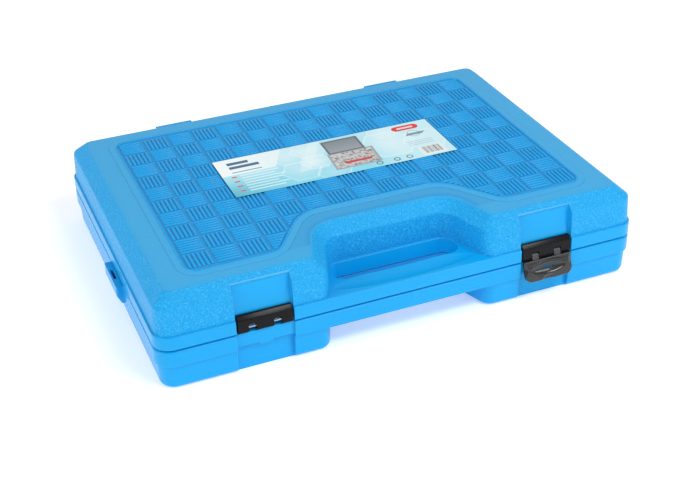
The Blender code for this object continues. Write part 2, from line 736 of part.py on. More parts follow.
def upright_socket(kind, flats, x, y, radius, sizes, finish):
    """A socket standing on its drive end in its pit, with its hexagon open upwards."""
    length, drive, drive_end, square_depth, floor = sizes
    low = floor + FIT_GAP
    high = low + length
    end = min(radius, drive_end / 2)
    profile = [
        (end - SOCKET_CHAMFER, low),
        (end, low + SOCKET_CHAMFER),
        (end, low + 0.42 * length),
        (radius, low + 0.5 * length),
        (radius, high - SOCKET_CHAMFER),
        (radius - SOCKET_CHAMFER, high),
    ]
    name = f"socket_{kind}_{flats}"
    made = turned_up(name, x, y, profile, SOCKET_SIDES, finish)
    hex_floor = low + square_depth + SOCKET_WEB
    cut(made, prism(name + "_hexagon", hexagon(x, y, flats * MM), hex_floor, high + OVERRUN))
    side = drive + 2 * SQUARE_CLEARANCE
    cut(made, prism(name + "_square", square(x, y, side), low - OVERRUN, low + square_depth))
    round_pocket(x, y, radius, floor)


def socket_row(pieces, y, left, right, finish):
    """One row of sockets, given as (kind, size across flats)."""
    half_sizes = (HALF_SOCKET_LENGTH, HALF_DRIVE, HALF_DRIVE_END, HALF_SQUARE_DEPTH, PIT_FLOOR)
    quarter_sizes = (
        QUARTER_SOCKET_LENGTH,
        QUARTER_DRIVE,
        QUARTER_DRIVE_END,
        QUARTER_SQUARE_DEPTH,
        QUARTER_PIT_FLOOR,
    )
    radii = []
    for kind, flats in pieces:
        if kind == "half":
            radii.append(socket_radius(flats, HALF_SOCKET_WALL, HALF_DRIVE_END))
        else:
            radii.append(socket_radius(flats, QUARTER_SOCKET_WALL, QUARTER_DRIVE_END))
    centres = spread([2 * radius for radius in radii], left, right)
    for (kind, flats), x, radius in zip(pieces, centres, radii):
        sizes = half_sizes if kind == "half" else quarter_sizes
        upright_socket(kind, flats, x, y, radius, sizes, finish)


def ratchet(kind, left, y, sizes, finishes):
    """A ratchet lying with its drive square down, its head at the left end."""
    length, head, head_height, shaft, grip, grip_length, drive, square_length = sizes
    chrome, rubber, steel = finishes
    x = left + head
    right = left + length
    z = TOOL_AXIS_HEIGHT
    head_low, head_high = z - head_height / 2, z + head_height / 2
    name = f"ratchet_{kind}"
    head_profile = [
        (head - SOCKET_CHAMFER, head_low),
        (head, head_low + SOCKET_CHAMFER),
        (head, head_high - SOCKET_CHAMFER),
        (head - SOCKET_CHAMFER, head_high),
    ]
    body = turned_up(name + "_body", x, y, head_profile, HEAD_SIDES, chrome)
    shaft_profile = [
        (x + 0.5 * head, 0.9 * head_height / 2),
        (x + 1.3 * head, 1.15 * shaft),
        (right - grip_length, shaft),
        (right - GRIP_END, shaft),
    ]
    join(body, turned_along(name + "_shaft", y, z, shaft_profile, SHAFT_SIDES))
    disc_radius = 0.66 * head
    disc_top = head_low + 0.45 * head_height
    bore = circle(x, y, disc_radius + FIT_GAP, HEAD_SIDES)
    cut(body, prism(name + "_bore", bore, head_low - OVERRUN, disc_top + FIT_GAP))
    hole = circle(x, y, SELECTOR_STUB_RADIUS + FIT_GAP, SHAFT_SIDES)
    stub_floor = head_high - SELECTOR_STUB_DEPTH
    cut(body, prism(name + "_stub_hole", hole, stub_floor - FIT_GAP, head_high + OVERRUN))

    disc = circle(x, y, disc_radius, HEAD_SIDES)
    driver = prism(name + "_drive", disc, head_low, disc_top, steel)
    side = drive - 2 * SQUARE_CLEARANCE
    levels = (
        (0.8 * drive, head_low - square_length),
        (side, head_low - 0.85 * square_length),
        (side, head_low + DISC_FACE),
    )
    rings = [[(px, py, h) for px, py in square(x, y, width)] for width, h in levels]
    join(driver, lofted(name + "_square", rings))

    plate = head_high + FIT_GAP
    top = plate + SELECTOR_THICKNESS
    hub = circle(x, y, 0.36 * head, SHAFT_SIDES)
    selector = prism(name + "_selector", hub, plate, top, steel)
    paddle = [
        (x - 0.14 * head, y),
        (x - 0.1 * head, y - 0.72 * head),
        (x + 0.1 * head, y - 0.72 * head),
        (x + 0.14 * head, y),
    ]
    low, high = plate + STEP_IN, plate + 0.8 * SELECTOR_THICKNESS
    join(selector, prism(name + "_paddle", paddle[::-1], low, high))
    stub = circle(x, y, SELECTOR_STUB_RADIUS, SHAFT_SIDES)
    join(selector, prism(name + "_stub", stub, stub_floor, plate + DISC_FACE))

    start = right - grip_length
    grip_profile = [
        (start, 0.72 * grip),
        (start + GRIP_COLLAR, 0.84 * grip),
        (start + 0.25 * grip_length, 0.8 * grip),
        (start + 0.6 * grip_length, grip),
        (right - GRIP_END, 0.92 * grip),
        (right, 0.7 * grip),
    ]
    sleeve = turned_along(name + "_grip", y, z, grip_profile, GRIP_SIDES, rubber)
    core = (y, z, shaft + FIT_GAP, start - OVERRUN, right - GRIP_END + FIT_GAP)
    cut(sleeve, across(name + "_core", *core, SHAFT_SIDES))

    long_pocket((x + right) / 2, y, right - x, 2 * grip, z - grip - FIT_GAP)
    round_pocket(x, y, head, head_low - FIT_GAP, layer=1)
    round_pocket(x, y, 0.75 * drive, head_low - square_length - FIT_GAP, layer=2)


def extension(name, left, y, length, end, shaft, drive, finish):
    """An extension bar: a socket end at the left, a square at the right."""
    z = TOOL_AXIS_HEIGHT
    right = left + length
    neck = left + 2.2 * end
    stop = right - 1.25 * drive
    profile = [
        (left, end - SOCKET_CHAMFER),
        (left + SOCKET_CHAMFER, end),
        (neck, end),
        (neck + 0.4 * end, shaft),
        (stop - 0.6 * end, shaft),
        (stop - 0.4 * end, 0.86 * end),
        (stop, 0.86 * end),
    ]
    bar = turned_along(name, y, z, profile, SHAFT_SIDES, finish)
    half = drive / 2 - SQUARE_CLEARANCE
    low = (stop - DISC_FACE, y - half, z - half)
    join(bar, block(name + "_male", low, (right, y + half, z + half)))
    half = drive / 2 + SQUARE_CLEARANCE
    low = (left - OVERRUN, y - half, z - half)
    cut(bar, block(name + "_female", low, (left + 1.25 * drive, y + half, z + half)))
    long_pocket(left + length / 2, y, length, 2 * end, z - end - FIT_GAP)


def spinner_handle(left, y, finishes):
    chrome, rubber = finishes
    z = TOOL_AXIS_HEIGHT
    right = left + SPINNER_LENGTH
    start = right - SPINNER_GRIP_LENGTH
    tip = left + 1.2 * QUARTER_DRIVE
    shaft_end = start + 0.5 * SPINNER_GRIP_LENGTH
    profile = [(tip, SPINNER_SHAFT_RADIUS), (shaft_end, SPINNER_SHAFT_RADIUS)]
    shaft = turned_along("spinner_shaft", y, z, profile, SHAFT_SIDES, chrome)
    half = QUARTER_DRIVE / 2 - SQUARE_CLEARANCE
    low = (left, y - half, z - half)
    join(shaft, block("spinner_square", low, (tip + DISC_FACE, y + half, z + half)))
    grip_profile = [
        (start, 0.55 * SPINNER_GRIP_RADIUS),
        (start + SPINNER_COLLAR, 0.8 * SPINNER_GRIP_RADIUS),
        (start + 0.25 * SPINNER_GRIP_LENGTH, 0.75 * SPINNER_GRIP_RADIUS),
        (start + 0.55 * SPINNER_GRIP_LENGTH, SPINNER_GRIP_RADIUS),
        (right - SPINNER_END, 0.95 * SPINNER_GRIP_RADIUS),
        (right, 0.6 * SPINNER_GRIP_RADIUS),
    ]
    grip = turned_along("spinner_grip", y, z, grip_profile, GRIP_SIDES, rubber)
    core = (y, z, SPINNER_SHAFT_RADIUS + FIT_GAP, start - OVERRUN, shaft_end + FIT_GAP)
    cut(grip, across("spinner_core", *core, SHAFT_SIDES))
    width = 2 * SPINNER_GRIP_RADIUS
    long_pocket(left + SPINNER_LENGTH / 2, y, SPINNER_LENGTH, width, z - width / 2 - FIT_GAP)


def spark_plug_socket(x, y, finish):
    z = TOOL_AXIS_HEIGHT
    left = x - PLUG_SOCKET_LENGTH / 2
    right = left + PLUG_SOCKET_LENGTH
    end = HALF_DRIVE_END / 2
    profile = [
        (left, end - SOCKET_CHAMFER),
        (left + SOCKET_CHAMFER, end),
        (left + 0.3 * PLUG_SOCKET_LENGTH, end),
        (left + 0.36 * PLUG_SOCKET_LENGTH, PLUG_SOCKET_RADIUS),
        (right - SOCKET_CHAMFER, PLUG_SOCKET_RADIUS),
        (right, PLUG_SOCKET_RADIUS - SOCKET_CHAMFER),
    ]
    made = turned_along("spark_plug_socket", y, z, profile, SOCKET_SIDES, finish)
    start = left + HALF_SQUARE_DEPTH + SOCKET_WEB
    mouth = side_prism("plug_hexagon", hexagon(y, z, PLUG_SOCKET_HEX), start, right + OVERRUN)
    cut(made, mouth)
    half = HALF_DRIVE / 2 + SQUARE_CLEARANCE
    low = (left - OVERRUN, y - half, z - half)
    cut(made, block("plug_square", low, (left + HALF_SQUARE_DEPTH, y + half, z + half)))
    radius = PLUG_SOCKET_RADIUS
    long_pocket(x, y, PLUG_SOCKET_LENGTH, 2 * radius, z - radius - FIT_GAP)


def hex_key(size, corner_x, corner_y, long_arm, short_arm, finish):
    """An L-shaped key lying flat, its corner mitred where the two arms meet."""
    radius = size * MM / 2 / math.cos(math.pi / 6)
    z = KEY_FLOOR + FIT_GAP + radius
    section = circle(0.0, z, radius, 6)
    start = [(corner_x + long_arm, corner_y + a, b) for a, b in section]
    mitre = [(corner_x + a, corner_y + a, b) for a, b in section]
    end = [(corner_x + a, corner_y + short_arm, b) for a, b in section]
    lofted(f"hex_key_{size}", [start, mitre, end], finish)


def hex_keys(x, y, finish):
    left = x - KEY_LONG_ARM / 2
    low = y - (KEY_SHORT_ARM + KEY_SIZES[0] * MM) / 2
    for n, size in enumerate(KEY_SIZES):
        shift = n * KEY_STEP
        long_arm = KEY_LONG_ARM - 2 * shift
        short_arm = KEY_SHORT_ARM - shift
        hex_key(size, left + shift, low + shift, long_arm, short_arm, finish)
    margin = KEY_SIZES[0] * MM
    centre_y = low + KEY_SHORT_ARM / 2
    long_pocket(x, centre_y, KEY_LONG_ARM + margin, KEY_SHORT_ARM + margin, KEY_FLOOR)


def tool_rows(chrome, steel, rubber, black_steel):
    """All the tools, in rows from the back of the case to the recess behind the handle."""
    left = LEFT + RIM_WIDTH
    right = -left
    inner_back = BACK - RIM_WIDTH
    inner_front = FRONT + RECESS_DEPTH + RIM_WIDTH
    widths = [
        2 * socket_radius(HALF_LARGE[0], HALF_SOCKET_WALL, HALF_DRIVE_END),
        HALF_DRIVE_END,
        2 * HALF_HEAD_RADIUS,
        2 * QUARTER_HEAD_RADIUS,
        2 * SPINNER_GRIP_RADIUS,
    ]
    large, small, ratchet_row, middle, front = spread(widths[::-1], inner_front, inner_back)[::-1]
    socket_row([("half", flats) for flats in HALF_LARGE], large, left, right, chrome)
    mixed = [("half", flats) for flats in HALF_SMALL] + [("quarter", flats) for flats in QUARTER]
    socket_row(mixed, small, left, right, chrome)

    finishes = (chrome, rubber, steel)
    half_sizes = (
        HALF_RATCHET_LENGTH,
        HALF_HEAD_RADIUS,
        HALF_HEAD_HEIGHT,
        HALF_SHAFT_RADIUS,
        HALF_GRIP_RADIUS,
        HALF_GRIP_LENGTH,
        HALF_DRIVE,
        HALF_SQUARE_LENGTH,
    )
    lengths = (HALF_RATCHET_LENGTH, HALF_EXTENSION_SHORT)
    tool, bar = spread(lengths, left, right)
    ratchet("half", tool - lengths[0] / 2, ratchet_row, half_sizes, finishes)
    half_bar = (HALF_EXTENSION_END, HALF_EXTENSION_SHAFT, HALF_DRIVE, chrome)
    extension("extension_half_short", bar - lengths[1] / 2, ratchet_row, lengths[1], *half_bar)

    quarter_sizes = (
        QUARTER_RATCHET_LENGTH,
        QUARTER_HEAD_RADIUS,
        QUARTER_HEAD_HEIGHT,
        QUARTER_SHAFT_RADIUS,
        QUARTER_GRIP_RADIUS,
        QUARTER_GRIP_LENGTH,
        QUARTER_DRIVE,
        QUARTER_SQUARE_LENGTH,
    )
    lengths = (QUARTER_RATCHET_LENGTH, HALF_EXTENSION_LONG)
    tool, bar = spread(lengths, left, right)
    ratchet("quarter", tool - lengths[0] / 2, middle, quarter_sizes, finishes)
    extension("extension_half_long", bar - lengths[1] / 2, middle, lengths[1], *half_bar)

    lengths = (SPINNER_LENGTH, QUARTER_EXTENSION)
    tool, bar = spread(lengths, left, right)
    spinner_handle(tool - lengths[0] / 2, front, (chrome, rubber))
    quarter_bar = (QUARTER_EXTENSION_END, QUARTER_EXTENSION_SHAFT, QUARTER_DRIVE, chrome)
    extension("extension_quarter", bar - lengths[1] / 2, front, lengths[1], *quarter_bar)

    leg_x = (CASE_LENGTH + RECESS_MOUTH) / 4
    leg_y = FRONT + RIM_WIDTH + RECESS_DEPTH / 2
    hex_keys(-leg_x, leg_y, black_steel)
    spark_plug_socket(leg_x, leg_y, chrome)


def hang(name, location, pieces, parent=None):
    """An empty on a joint's axis, with the pieces that turn about it."""
    axis = bpy.data.objects.new(name, None)
    bpy.context.scene.collection.objects.link(axis)
    axis.location = location
    if parent:
        axis.parent = parent
        axis.location = Vector(location) - parent.location
    for piece in pieces:
        piece.parent = axis
        piece.matrix_parent_inverse = Matrix.Translation(location).inverted()
    return axis


def shade(piece):
    if piece.type == "MESH" and not piece.hide_render:
        piece.data.shade_smooth()
        piece.data.set_sharp_from_angle(angle=math.radians(35))


def main():
    for leftover in list(bpy.data.objects):
        bpy.data.objects.remove(leftover)

    blue = material("blue plastic", (0.012, 0.33, 0.82), 0.42)
    black = material("black plastic", (0.016, 0.016, 0.018), 0.35)
    smoked = material("smoked plastic", (0.045, 0.045, 0.05), 0.15)
    paper = material("printed paper", (0.72, 0.85, 0.9), 0.3)
    chrome = material("chrome", (0.75, 0.76, 0.78), 0.12, 1.0)
    steel = material("plain steel", (0.45, 0.45, 0.46), 0.3, 1.0)
    black_steel = material("black steel", (0.05, 0.05, 0.055), 0.4, 0.9)
    rubber = material("grip rubber", (0.02, 0.02, 0.022), 0.6)

    tool_rows(chrome, steel, rubber, black_steel)
    build_base(blue)
    lid = build_lid(blue)
    hinge_pins(steel)

    lid_pieces = [lid, label_sheet(paper)]
    for side, x in zip(("left", "right"), latch_centres()):
        lid_pieces.append(latch_block(side, x, black))
        lid_pieces.append(latch_pin(side, x, steel))
    lid_axis = hang("lid_axis", (0.0, HINGE_LINE, HINGE_HEIGHT), lid_pieces)

    lever = latch_lever(smoked)
    lever_place = (LATCH_SPREAD / 2, LATCH_PIN_LINE, LATCH_PIN_HEIGHT)
    lever_axis = hang("lever_axis", lever_place, [], lid_axis)
    lever_axis.rotation_euler.x = math.radians(-LEVER_REST_DEGREES)
    for piece in [lever, *(step.object for step in lever.modifiers)]:
        piece.parent = lever_axis

    for piece in bpy.data.objects:
        shade(piece)


main()
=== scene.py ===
"""The visible surface of a socket wrench set in its blow-moulded case."""

import math

import bmesh
import bpy
from mathutils import Matrix, Vector


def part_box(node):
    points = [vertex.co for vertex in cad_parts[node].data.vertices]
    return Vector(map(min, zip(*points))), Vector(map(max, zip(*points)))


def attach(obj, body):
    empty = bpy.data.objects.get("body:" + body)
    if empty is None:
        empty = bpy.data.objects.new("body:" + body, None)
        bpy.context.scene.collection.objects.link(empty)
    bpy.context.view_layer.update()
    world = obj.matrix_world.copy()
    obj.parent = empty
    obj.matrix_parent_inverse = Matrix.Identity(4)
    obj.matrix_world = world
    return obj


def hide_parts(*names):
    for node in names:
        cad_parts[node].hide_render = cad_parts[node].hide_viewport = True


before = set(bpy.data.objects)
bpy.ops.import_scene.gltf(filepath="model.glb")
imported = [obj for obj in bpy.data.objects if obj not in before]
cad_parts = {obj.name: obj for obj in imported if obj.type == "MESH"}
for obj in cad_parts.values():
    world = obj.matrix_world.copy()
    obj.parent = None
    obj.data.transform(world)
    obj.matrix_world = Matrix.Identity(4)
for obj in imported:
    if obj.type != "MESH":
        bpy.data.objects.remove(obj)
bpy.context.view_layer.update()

MM = 0.001
OVERRUN = 6 * MM


def middle(node):
    """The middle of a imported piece."""
    low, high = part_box(node)
    return (low + high) / 2


def both_sides(name):
    return [middle(f"{name}_{side}").x for side in ("left", "right")]


# Lines of the case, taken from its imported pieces
LID_LOW, LID_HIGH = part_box("lid_shell")
LABEL_LOW, LABEL_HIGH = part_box("label_sheet")
RIGHT = LID_HIGH.x
LEFT = LID_LOW.x
FRONT = LID_LOW.y
BACK = -FRONT
PARTING_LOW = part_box("latch_block_left")[0].z - 1.1 * MM
LID_BOTTOM = PARTING_LOW + 0.4 * MM
PANEL = LID_HIGH.z - 0.7 * MM
HINGE_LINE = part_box("hinge_pin_left")[0].y + 1.6 * MM
HINGE_HEIGHT = (PARTING_LOW + LID_BOTTOM) / 2

# Outline and walls of the case
CORNER_RADIUS = 14 * MM
RECESS_MOUTH, RECESS_BACK, RECESS_DEPTH = 128.8 * MM, 97.4 * MM, 44.5 * MM
RECESS_RADIUS = 13 * MM
LEAST_RADIUS = 6 * MM
BAND_PROUD = 1.6 * MM
LID_BAND_TOP = LID_BOTTOM + 11.6 * MM
BASE_BAND_FOOT = PARTING_LOW - 14 * MM
RIM_WIDTH = 9.5 * MM
DECK = PARTING_LOW - 3.2 * MM
LID_CEILING = LID_BOTTOM + 12 * MM
HANDLE_WIDTH = 20.4 * MM
FINGER_LENGTH, FINGER_WIDTH, FINGER_RADIUS = 105.4 * MM, 23.6 * MM, 9.5 * MM
FINGER_DRAFT = 2.8 * MM

# Latches and hinges
LATCHES, HINGES = both_sides("latch_block"), both_sides("hinge_pin")
LATCH_HALF_WIDTH = 22.35 * MM
LATCH_FACE, LATCH_LEDGE = FRONT + 2.1 * MM, PARTING_LOW - 11.4 * MM
TABS = (-9.7 * MM, 9.7 * MM)
LATCH_PIN, HINGE_PIN = 0.85 * MM, 1.6 * MM
LATCH_BORE, HINGE_BORE = 1.2 * MM, 2.05 * MM
LEVER_TILT = 18
KNUCKLE = 5.2 * MM

# Tools
DRIVES = {"half": 12.7 * MM, "quarter": 6.35 * MM}
DRIVE_PLAY = 0.15 * MM
EDGE = 0.9 * MM

# The patterned field on the lid
TILE = 21.5 * MM
TILE_COLUMNS, TILE_ROWS, RIBS_PER_TILE = 15, 10, 6
RIB_PITCH = TILE / 6.35
RIB_LENGTH = TILE - 2.1 * MM
RIB_WIDTH = 2.3 * MM
FIELD_X, FIELD_Y = 163 * MM, 111.8 * MM


# ---------------------------------------------------------------- modelling


def deselect():
    if bpy.context.mode != "OBJECT":
        bpy.ops.object.mode_set(mode="OBJECT")
    bpy.ops.object.select_all(action="DESELECT")


def only(piece):
    deselect()
    piece.select_set(True)
    bpy.context.view_layer.objects.active = piece


def edit(piece):
    only(piece)
    bpy.ops.object.mode_set(mode="EDIT")


def extrude(x, y, z):
    bpy.ops.mesh.extrude_region_move(TRANSFORM_OT_translate={"value": (x, y, z)})


def close_up():
    """Turns every face outwards and leaves edit mode."""
    bpy.ops.mesh.select_all(action="SELECT")
    bpy.ops.mesh.normals_make_consistent(inside=False)
    bpy.ops.object.mode_set(mode="OBJECT")


def pick(piece, kind, test):
    """In edit mode, selects the vertices, edges or faces that pass a test on their place."""
    bpy.ops.mesh.select_mode(type=kind)
    bpy.ops.mesh.select_all(action="DESELECT")
    form = bmesh.from_edit_mesh(piece.data)
    for part in {"VERT": form.verts, "EDGE": form.edges, "FACE": form.faces}[kind]:
        if test(part):
            part.select_set(True)
    bmesh.update_edit_mesh(piece.data)


def named(name):
    piece = bpy.context.active_object
    piece.name = name
    piece.data.name = name
    return piece


def settle(piece):
    """Puts the piece's place, turn and scale into its mesh."""
    only(piece)
    bpy.ops.object.transform_apply(location=True, rotation=True, scale=True)
    return piece


def apply_steps(piece):
    only(piece)
    for step in list(piece.modifiers):
        bpy.ops.object.modifier_apply(modifier=step.name)
    return piece


def combine(piece, tool, operation="DIFFERENCE", solver="EXACT"):
    step = piece.modifiers.new(operation, "BOOLEAN")
    step.operation = operation
    step.solver = solver
    step.object = tool
    apply_steps(piece)
    bpy.data.objects.remove(tool)
    return piece


def joined(pieces, name):
    only(pieces[0])
    for piece in pieces:
        piece.select_set(True)
    bpy.ops.object.join()
    return named(name)


def vertical(edge):
    low, high = edge.verts
    return abs(low.co.x - high.co.x) + abs(low.co.y - high.co.y) < 1e-6


def box(name, low, high, radius=0.0, steps=4, which=None):
    """A block between two corners; the edges that pass the test are rounded."""
    low, high = Vector(low), Vector(high)
    deselect()
    bpy.ops.mesh.primitive_cube_add(size=1, location=(low + high) / 2)
    piece = named(name)
    piece.scale = high - low
    settle(piece)
    if radius:
        edit(piece)
        pick(piece, "EDGE", which or (lambda edge: True))
        bpy.ops.mesh.bevel(offset=radius, segments=steps, profile=0.5, affect="EDGES")
        bpy.ops.object.mode_set(mode="OBJECT")
    return piece


def turned(name, profile, place=(0, 0, 0), lie=None, sides=48, phase=0.0):
    """A piece grown from a round blank by extruding and resizing along (radius, height)."""
    deselect()
    radius, height = profile[0]
    bpy.ops.mesh.primitive_circle_add(
        vertices=sides, radius=radius, fill_type="NGON", location=(0, 0, height)
    )
    piece = named(name)
    settle(piece)
    bpy.ops.object.mode_set(mode="EDIT")
    bpy.ops.mesh.select_all(action="SELECT")
    for (r0, h0), (r1, h1) in zip(profile, profile[1:]):
        extrude(0, 0, h1 - h0)
        if abs(r1 - r0) > 1e-9:
            scale = r1 / r0
            bpy.ops.transform.resize(value=(scale, scale, 1), center_override=(0, 0, h1))
    close_up()
    if lie == "x":
        piece.rotation_euler = (phase, math.pi / 2, 0)
    else:
        piece.rotation_euler = (0, 0, phase)
    piece.location = place
    return settle(piece)


def bar(name, radius, ends, place, lie=None, sides=6, phase=0.0):
    """A straight round or many-sided bar between two heights on its own axis."""
    return turned(name, [(radius, ends[0]), (radius, ends[1])], place, lie, sides, phase)


def shown(name, data):
    """A new object in the scene."""
    piece = bpy.data.objects.new(name, data)
    bpy.context.scene.collection.objects.link(piece)
    return piece


def loft(name, rings):
    """A closed skin through rings of points that follow one outline."""
    form = bmesh.new()
    loops = [[form.verts.new(point) for point in ring] for ring in rings]
    count = len(loops[0])
    for low, high in zip(loops, loops[1:]):
        for i in range(count):
            j = (i + 1) % count
            form.faces.new((low[i], low[j], high[j], high[i]))
    form.faces.new(loops[0][::-1])
    form.faces.new(loops[-1])
    bmesh.ops.recalc_face_normals(form, faces=form.faces)
    mesh = bpy.data.meshes.new(name)
    form.to_mesh(mesh)
    form.free()
    return shown(name, mesh)


def ring(line, z):
    return [(point.x, point.y, z) for point in line]


def prism(name, profile, left, right):
    """A solid of one (y, z) profile from left to right."""
    return loft(name, [[(x, y, z) for y, z in profile] for x in (left, right)])


def lump(name, place, scale, segments=32):
    """A sphere stretched along each axis, to add or to cut away."""
    deselect()
    bpy.ops.mesh.primitive_uv_sphere_add(
        segments=segments, ring_count=segments // 2, radius=1, location=place
    )
    piece = named(name)
    piece.scale = scale
    return settle(piece)


def square_bar(name, ends, centre, half, radius=0.0):
    """A square bar along X between two ends."""
    low, high = [(end, centre.y + side, centre.z + side) for end, side in zip(ends, (-half, half))]
    return box(name, low, high, radius, 3)


def wire(name, points, radius, smooth, closed=False):
    """A round wire along a line of points."""
    curve = bpy.data.curves.new(name, "CURVE")
    curve.dimensions = "3D"
    path = curve.splines.new("POLY")
    path.points.add(len(points) - 1)
    for place, point in zip(path.points, points):
        place.co = (*point, 1)
    path.use_cyclic_u = closed
    curve.bevel_depth = radius
    curve.bevel_resolution = smooth
    curve.use_fill_caps = not closed
    only(shown(name, curve))
    bpy.ops.object.convert(target="MESH")
    return named(name)


def rounded(corners, closed=True, inset=0.0, steps=10):
    """Points along a line whose corners (x, y, radius) are arcs, moved inwards by an inset."""
    places = [Vector(corner[:2]) for corner in corners]
    line = []
    for i, (_, _, radius) in enumerate(corners):
        if not closed and i in (0, len(corners) - 1):
            line.append(places[i])
            continue
        here = places[i]
        arriving = (here - places[i - 1]).normalized()
        leaving = (places[(i + 1) % len(places)] - here).normalized()
        turn = -arriving.angle_signed(leaving)
        side = 1 if turn > 0 else -1
        first = Vector((-arriving.y, arriving.x))
        second = Vector((-leaving.y, leaving.x))
        corner = here + inset * (first + second) / (1 + first.dot(second))
        if closed:
            radius = max(radius - side * inset, min(radius, LEAST_RADIUS))
        start = corner - arriving * radius * math.tan(abs(turn) / 2)
        centre = start + side * first * radius
        for step in range(steps + 1):
            spoke = Matrix.Rotation(turn * step / steps, 2) @ (start - centre)
            line.append(centre + spoke)
    return line


def rectangle(half_x, half_y, radius, centre=(0.0, 0.0)):
    x, y = centre
    signs = ((-1, -1), (1, -1), (1, 1), (-1, 1))
    return [(x + along * half_x, y + aside * half_y, radius) for along, aside in signs]


def case_line(with_recess):
    corners = rectangle(RIGHT, BACK, CORNER_RADIUS)
    if with_recess:
        mouth, back, depth = RECESS_MOUTH / 2, RECESS_BACK / 2, FRONT + RECESS_DEPTH
        notch = [(-mouth, FRONT), (-back, depth), (back, depth), (mouth, FRONT)]
        corners[1:1] = [(x, y, RECESS_RADIUS) for x, y in notch]
    return corners


def case_body(name, with_recess, profile, steps=10):
    """A solid with the case's outline, its wall following an (inset, height, radius) profile."""
    corners = case_line(with_recess)
    rings = []
    for inset, height in rounded(profile, closed=False, steps=5):
        rings.append(ring(rounded(corners, inset=inset, steps=steps), height))
    return loft(name, rings)


def dress(piece, material, body, *nodes, angle=32, even=False):
    """Finishes a piece: its shading, material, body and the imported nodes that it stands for."""
    piece.data.materials.clear()
    piece.data.materials.append(material)
    only(piece)
    bpy.ops.object.shade_smooth_by_angle(angle=math.radians(angle))
    if even:
        step = piece.modifiers.new("even shading", "WEIGHTED_NORMAL")
        step.keep_sharp = True
        apply_steps(piece)
    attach(piece, body)
    if nodes:
        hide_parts(*nodes)
    return piece


# ---------------------------------------------------------------- materials


class Flow:
    """A number that runs through a material's nodes and takes part in sums."""

    def __init__(self, finish, socket):
        self.finish = finish
        self.socket = socket

    def sum(self, operation, *values):
        return self.finish.node("Math", {"operation": operation}, dict(enumerate(values)))

    def __add__(self, other):
        return self.sum("ADD", self, other)

    def __sub__(self, other):
        return self.sum("SUBTRACT", self, other)

    def __rsub__(self, other):
        return self.sum("SUBTRACT", other, self)

    def __mul__(self, other):
        return self.sum("MULTIPLY", self, other)

    def __truediv__(self, other):
        return self.sum("DIVIDE", self, other)

    def __gt__(self, other):
        return self.sum("GREATER_THAN", self, other)

    def __lt__(self, other):
        return self.sum("LESS_THAN", self, other)

    __radd__ = __add__
    __rmul__ = __mul__

    def part(self):
        return self.sum("FRACT", self)

    def size(self):
        return self.sum("ABSOLUTE", self)

    def most(self, other):
        return self.sum("MAXIMUM", self, other)

    def least(self, other):
        return self.sum("MINIMUM", self, other)

    def between(self, low, high):
        return (self > low) * (self < high)

    def ramp(self, low, high):
        """Runs from 0 at low to 1 at high."""
        found = (self - low) / (high - low)
        return found.most(0.0).least(1.0)


class Finish:
    """A procedural material for one slot of the record."""

    def __init__(self, name, slot, **constants):
        self.material = bpy.data.materials.new(name)
        self.material.use_nodes = True
        self.material["slot"] = slot
        self.tree = self.material.node_tree
        self.shader = self.tree.nodes["Principled BSDF"]
        for socket, value in constants.items():
            socket = socket.replace("_", " ").title().replace("Ior", "IOR")
            self.shader.inputs[socket].default_value = value

    def node(self, kind, settings=None, sockets=None, output=0):
        made = self.tree.nodes.new("ShaderNode" + kind)
        for setting, value in (settings or {}).items():
            if setting == "stops":
                self.fill_ramp(made.color_ramp, value)
            else:
                setattr(made, setting, value)
        for socket, value in (sockets or {}).items():
            if isinstance(value, Flow):
                self.tree.links.new(value.socket, made.inputs[socket])
            else:
                made.inputs[socket].default_value = value
        return Flow(self, made.outputs[output])

    def fill_ramp(self, ramp, stops):
        while len(ramp.elements) < len(stops):
            ramp.elements.new(0.5)
        for element, (place, colour) in zip(ramp.elements, stops):
            element.position = place
            element.color = (*colour, 1.0)

    def axes(self):
        place = self.node("TexCoord", output="Object")
        return [self.node("SeparateXYZ", sockets={0: place}, output=n) for n in range(3)]

    def place(self):
        return self.node("TexCoord", output="Object")

    def noise(self, scale, detail=2.0, roughness=0.5, vector=None):
        sockets = {"Vector": vector or self.place(), "Scale": scale}
        sockets.update({"Detail": detail, "Roughness": roughness})
        return self.node("TexNoise", sockets=sockets)

    def colour(self, factor, first, second):
        pair = {0: factor, 6: first, 7: second}
        for socket in (6, 7):
            if not isinstance(pair[socket], Flow):
                pair[socket] = (*pair[socket], 1.0)
        return self.node("Mix", {"data_type": "RGBA"}, pair, output=2)

    def bump(self, height, strength, distance, under=None):
        sockets = {"Height": height, "Strength": strength, "Distance": distance}
        if under:
            sockets["Normal"] = under
        return self.node("Bump", sockets=sockets)

    def soft_edges(self, radius):
        return self.node("Bevel", {"samples": 4}, {"Radius": radius})

    def feed(self, **links):
        for socket, flow in links.items():
            socket = socket.replace("_", " ").title()
            self.tree.links.new(flow.socket, self.shader.inputs[socket])
        return self.material


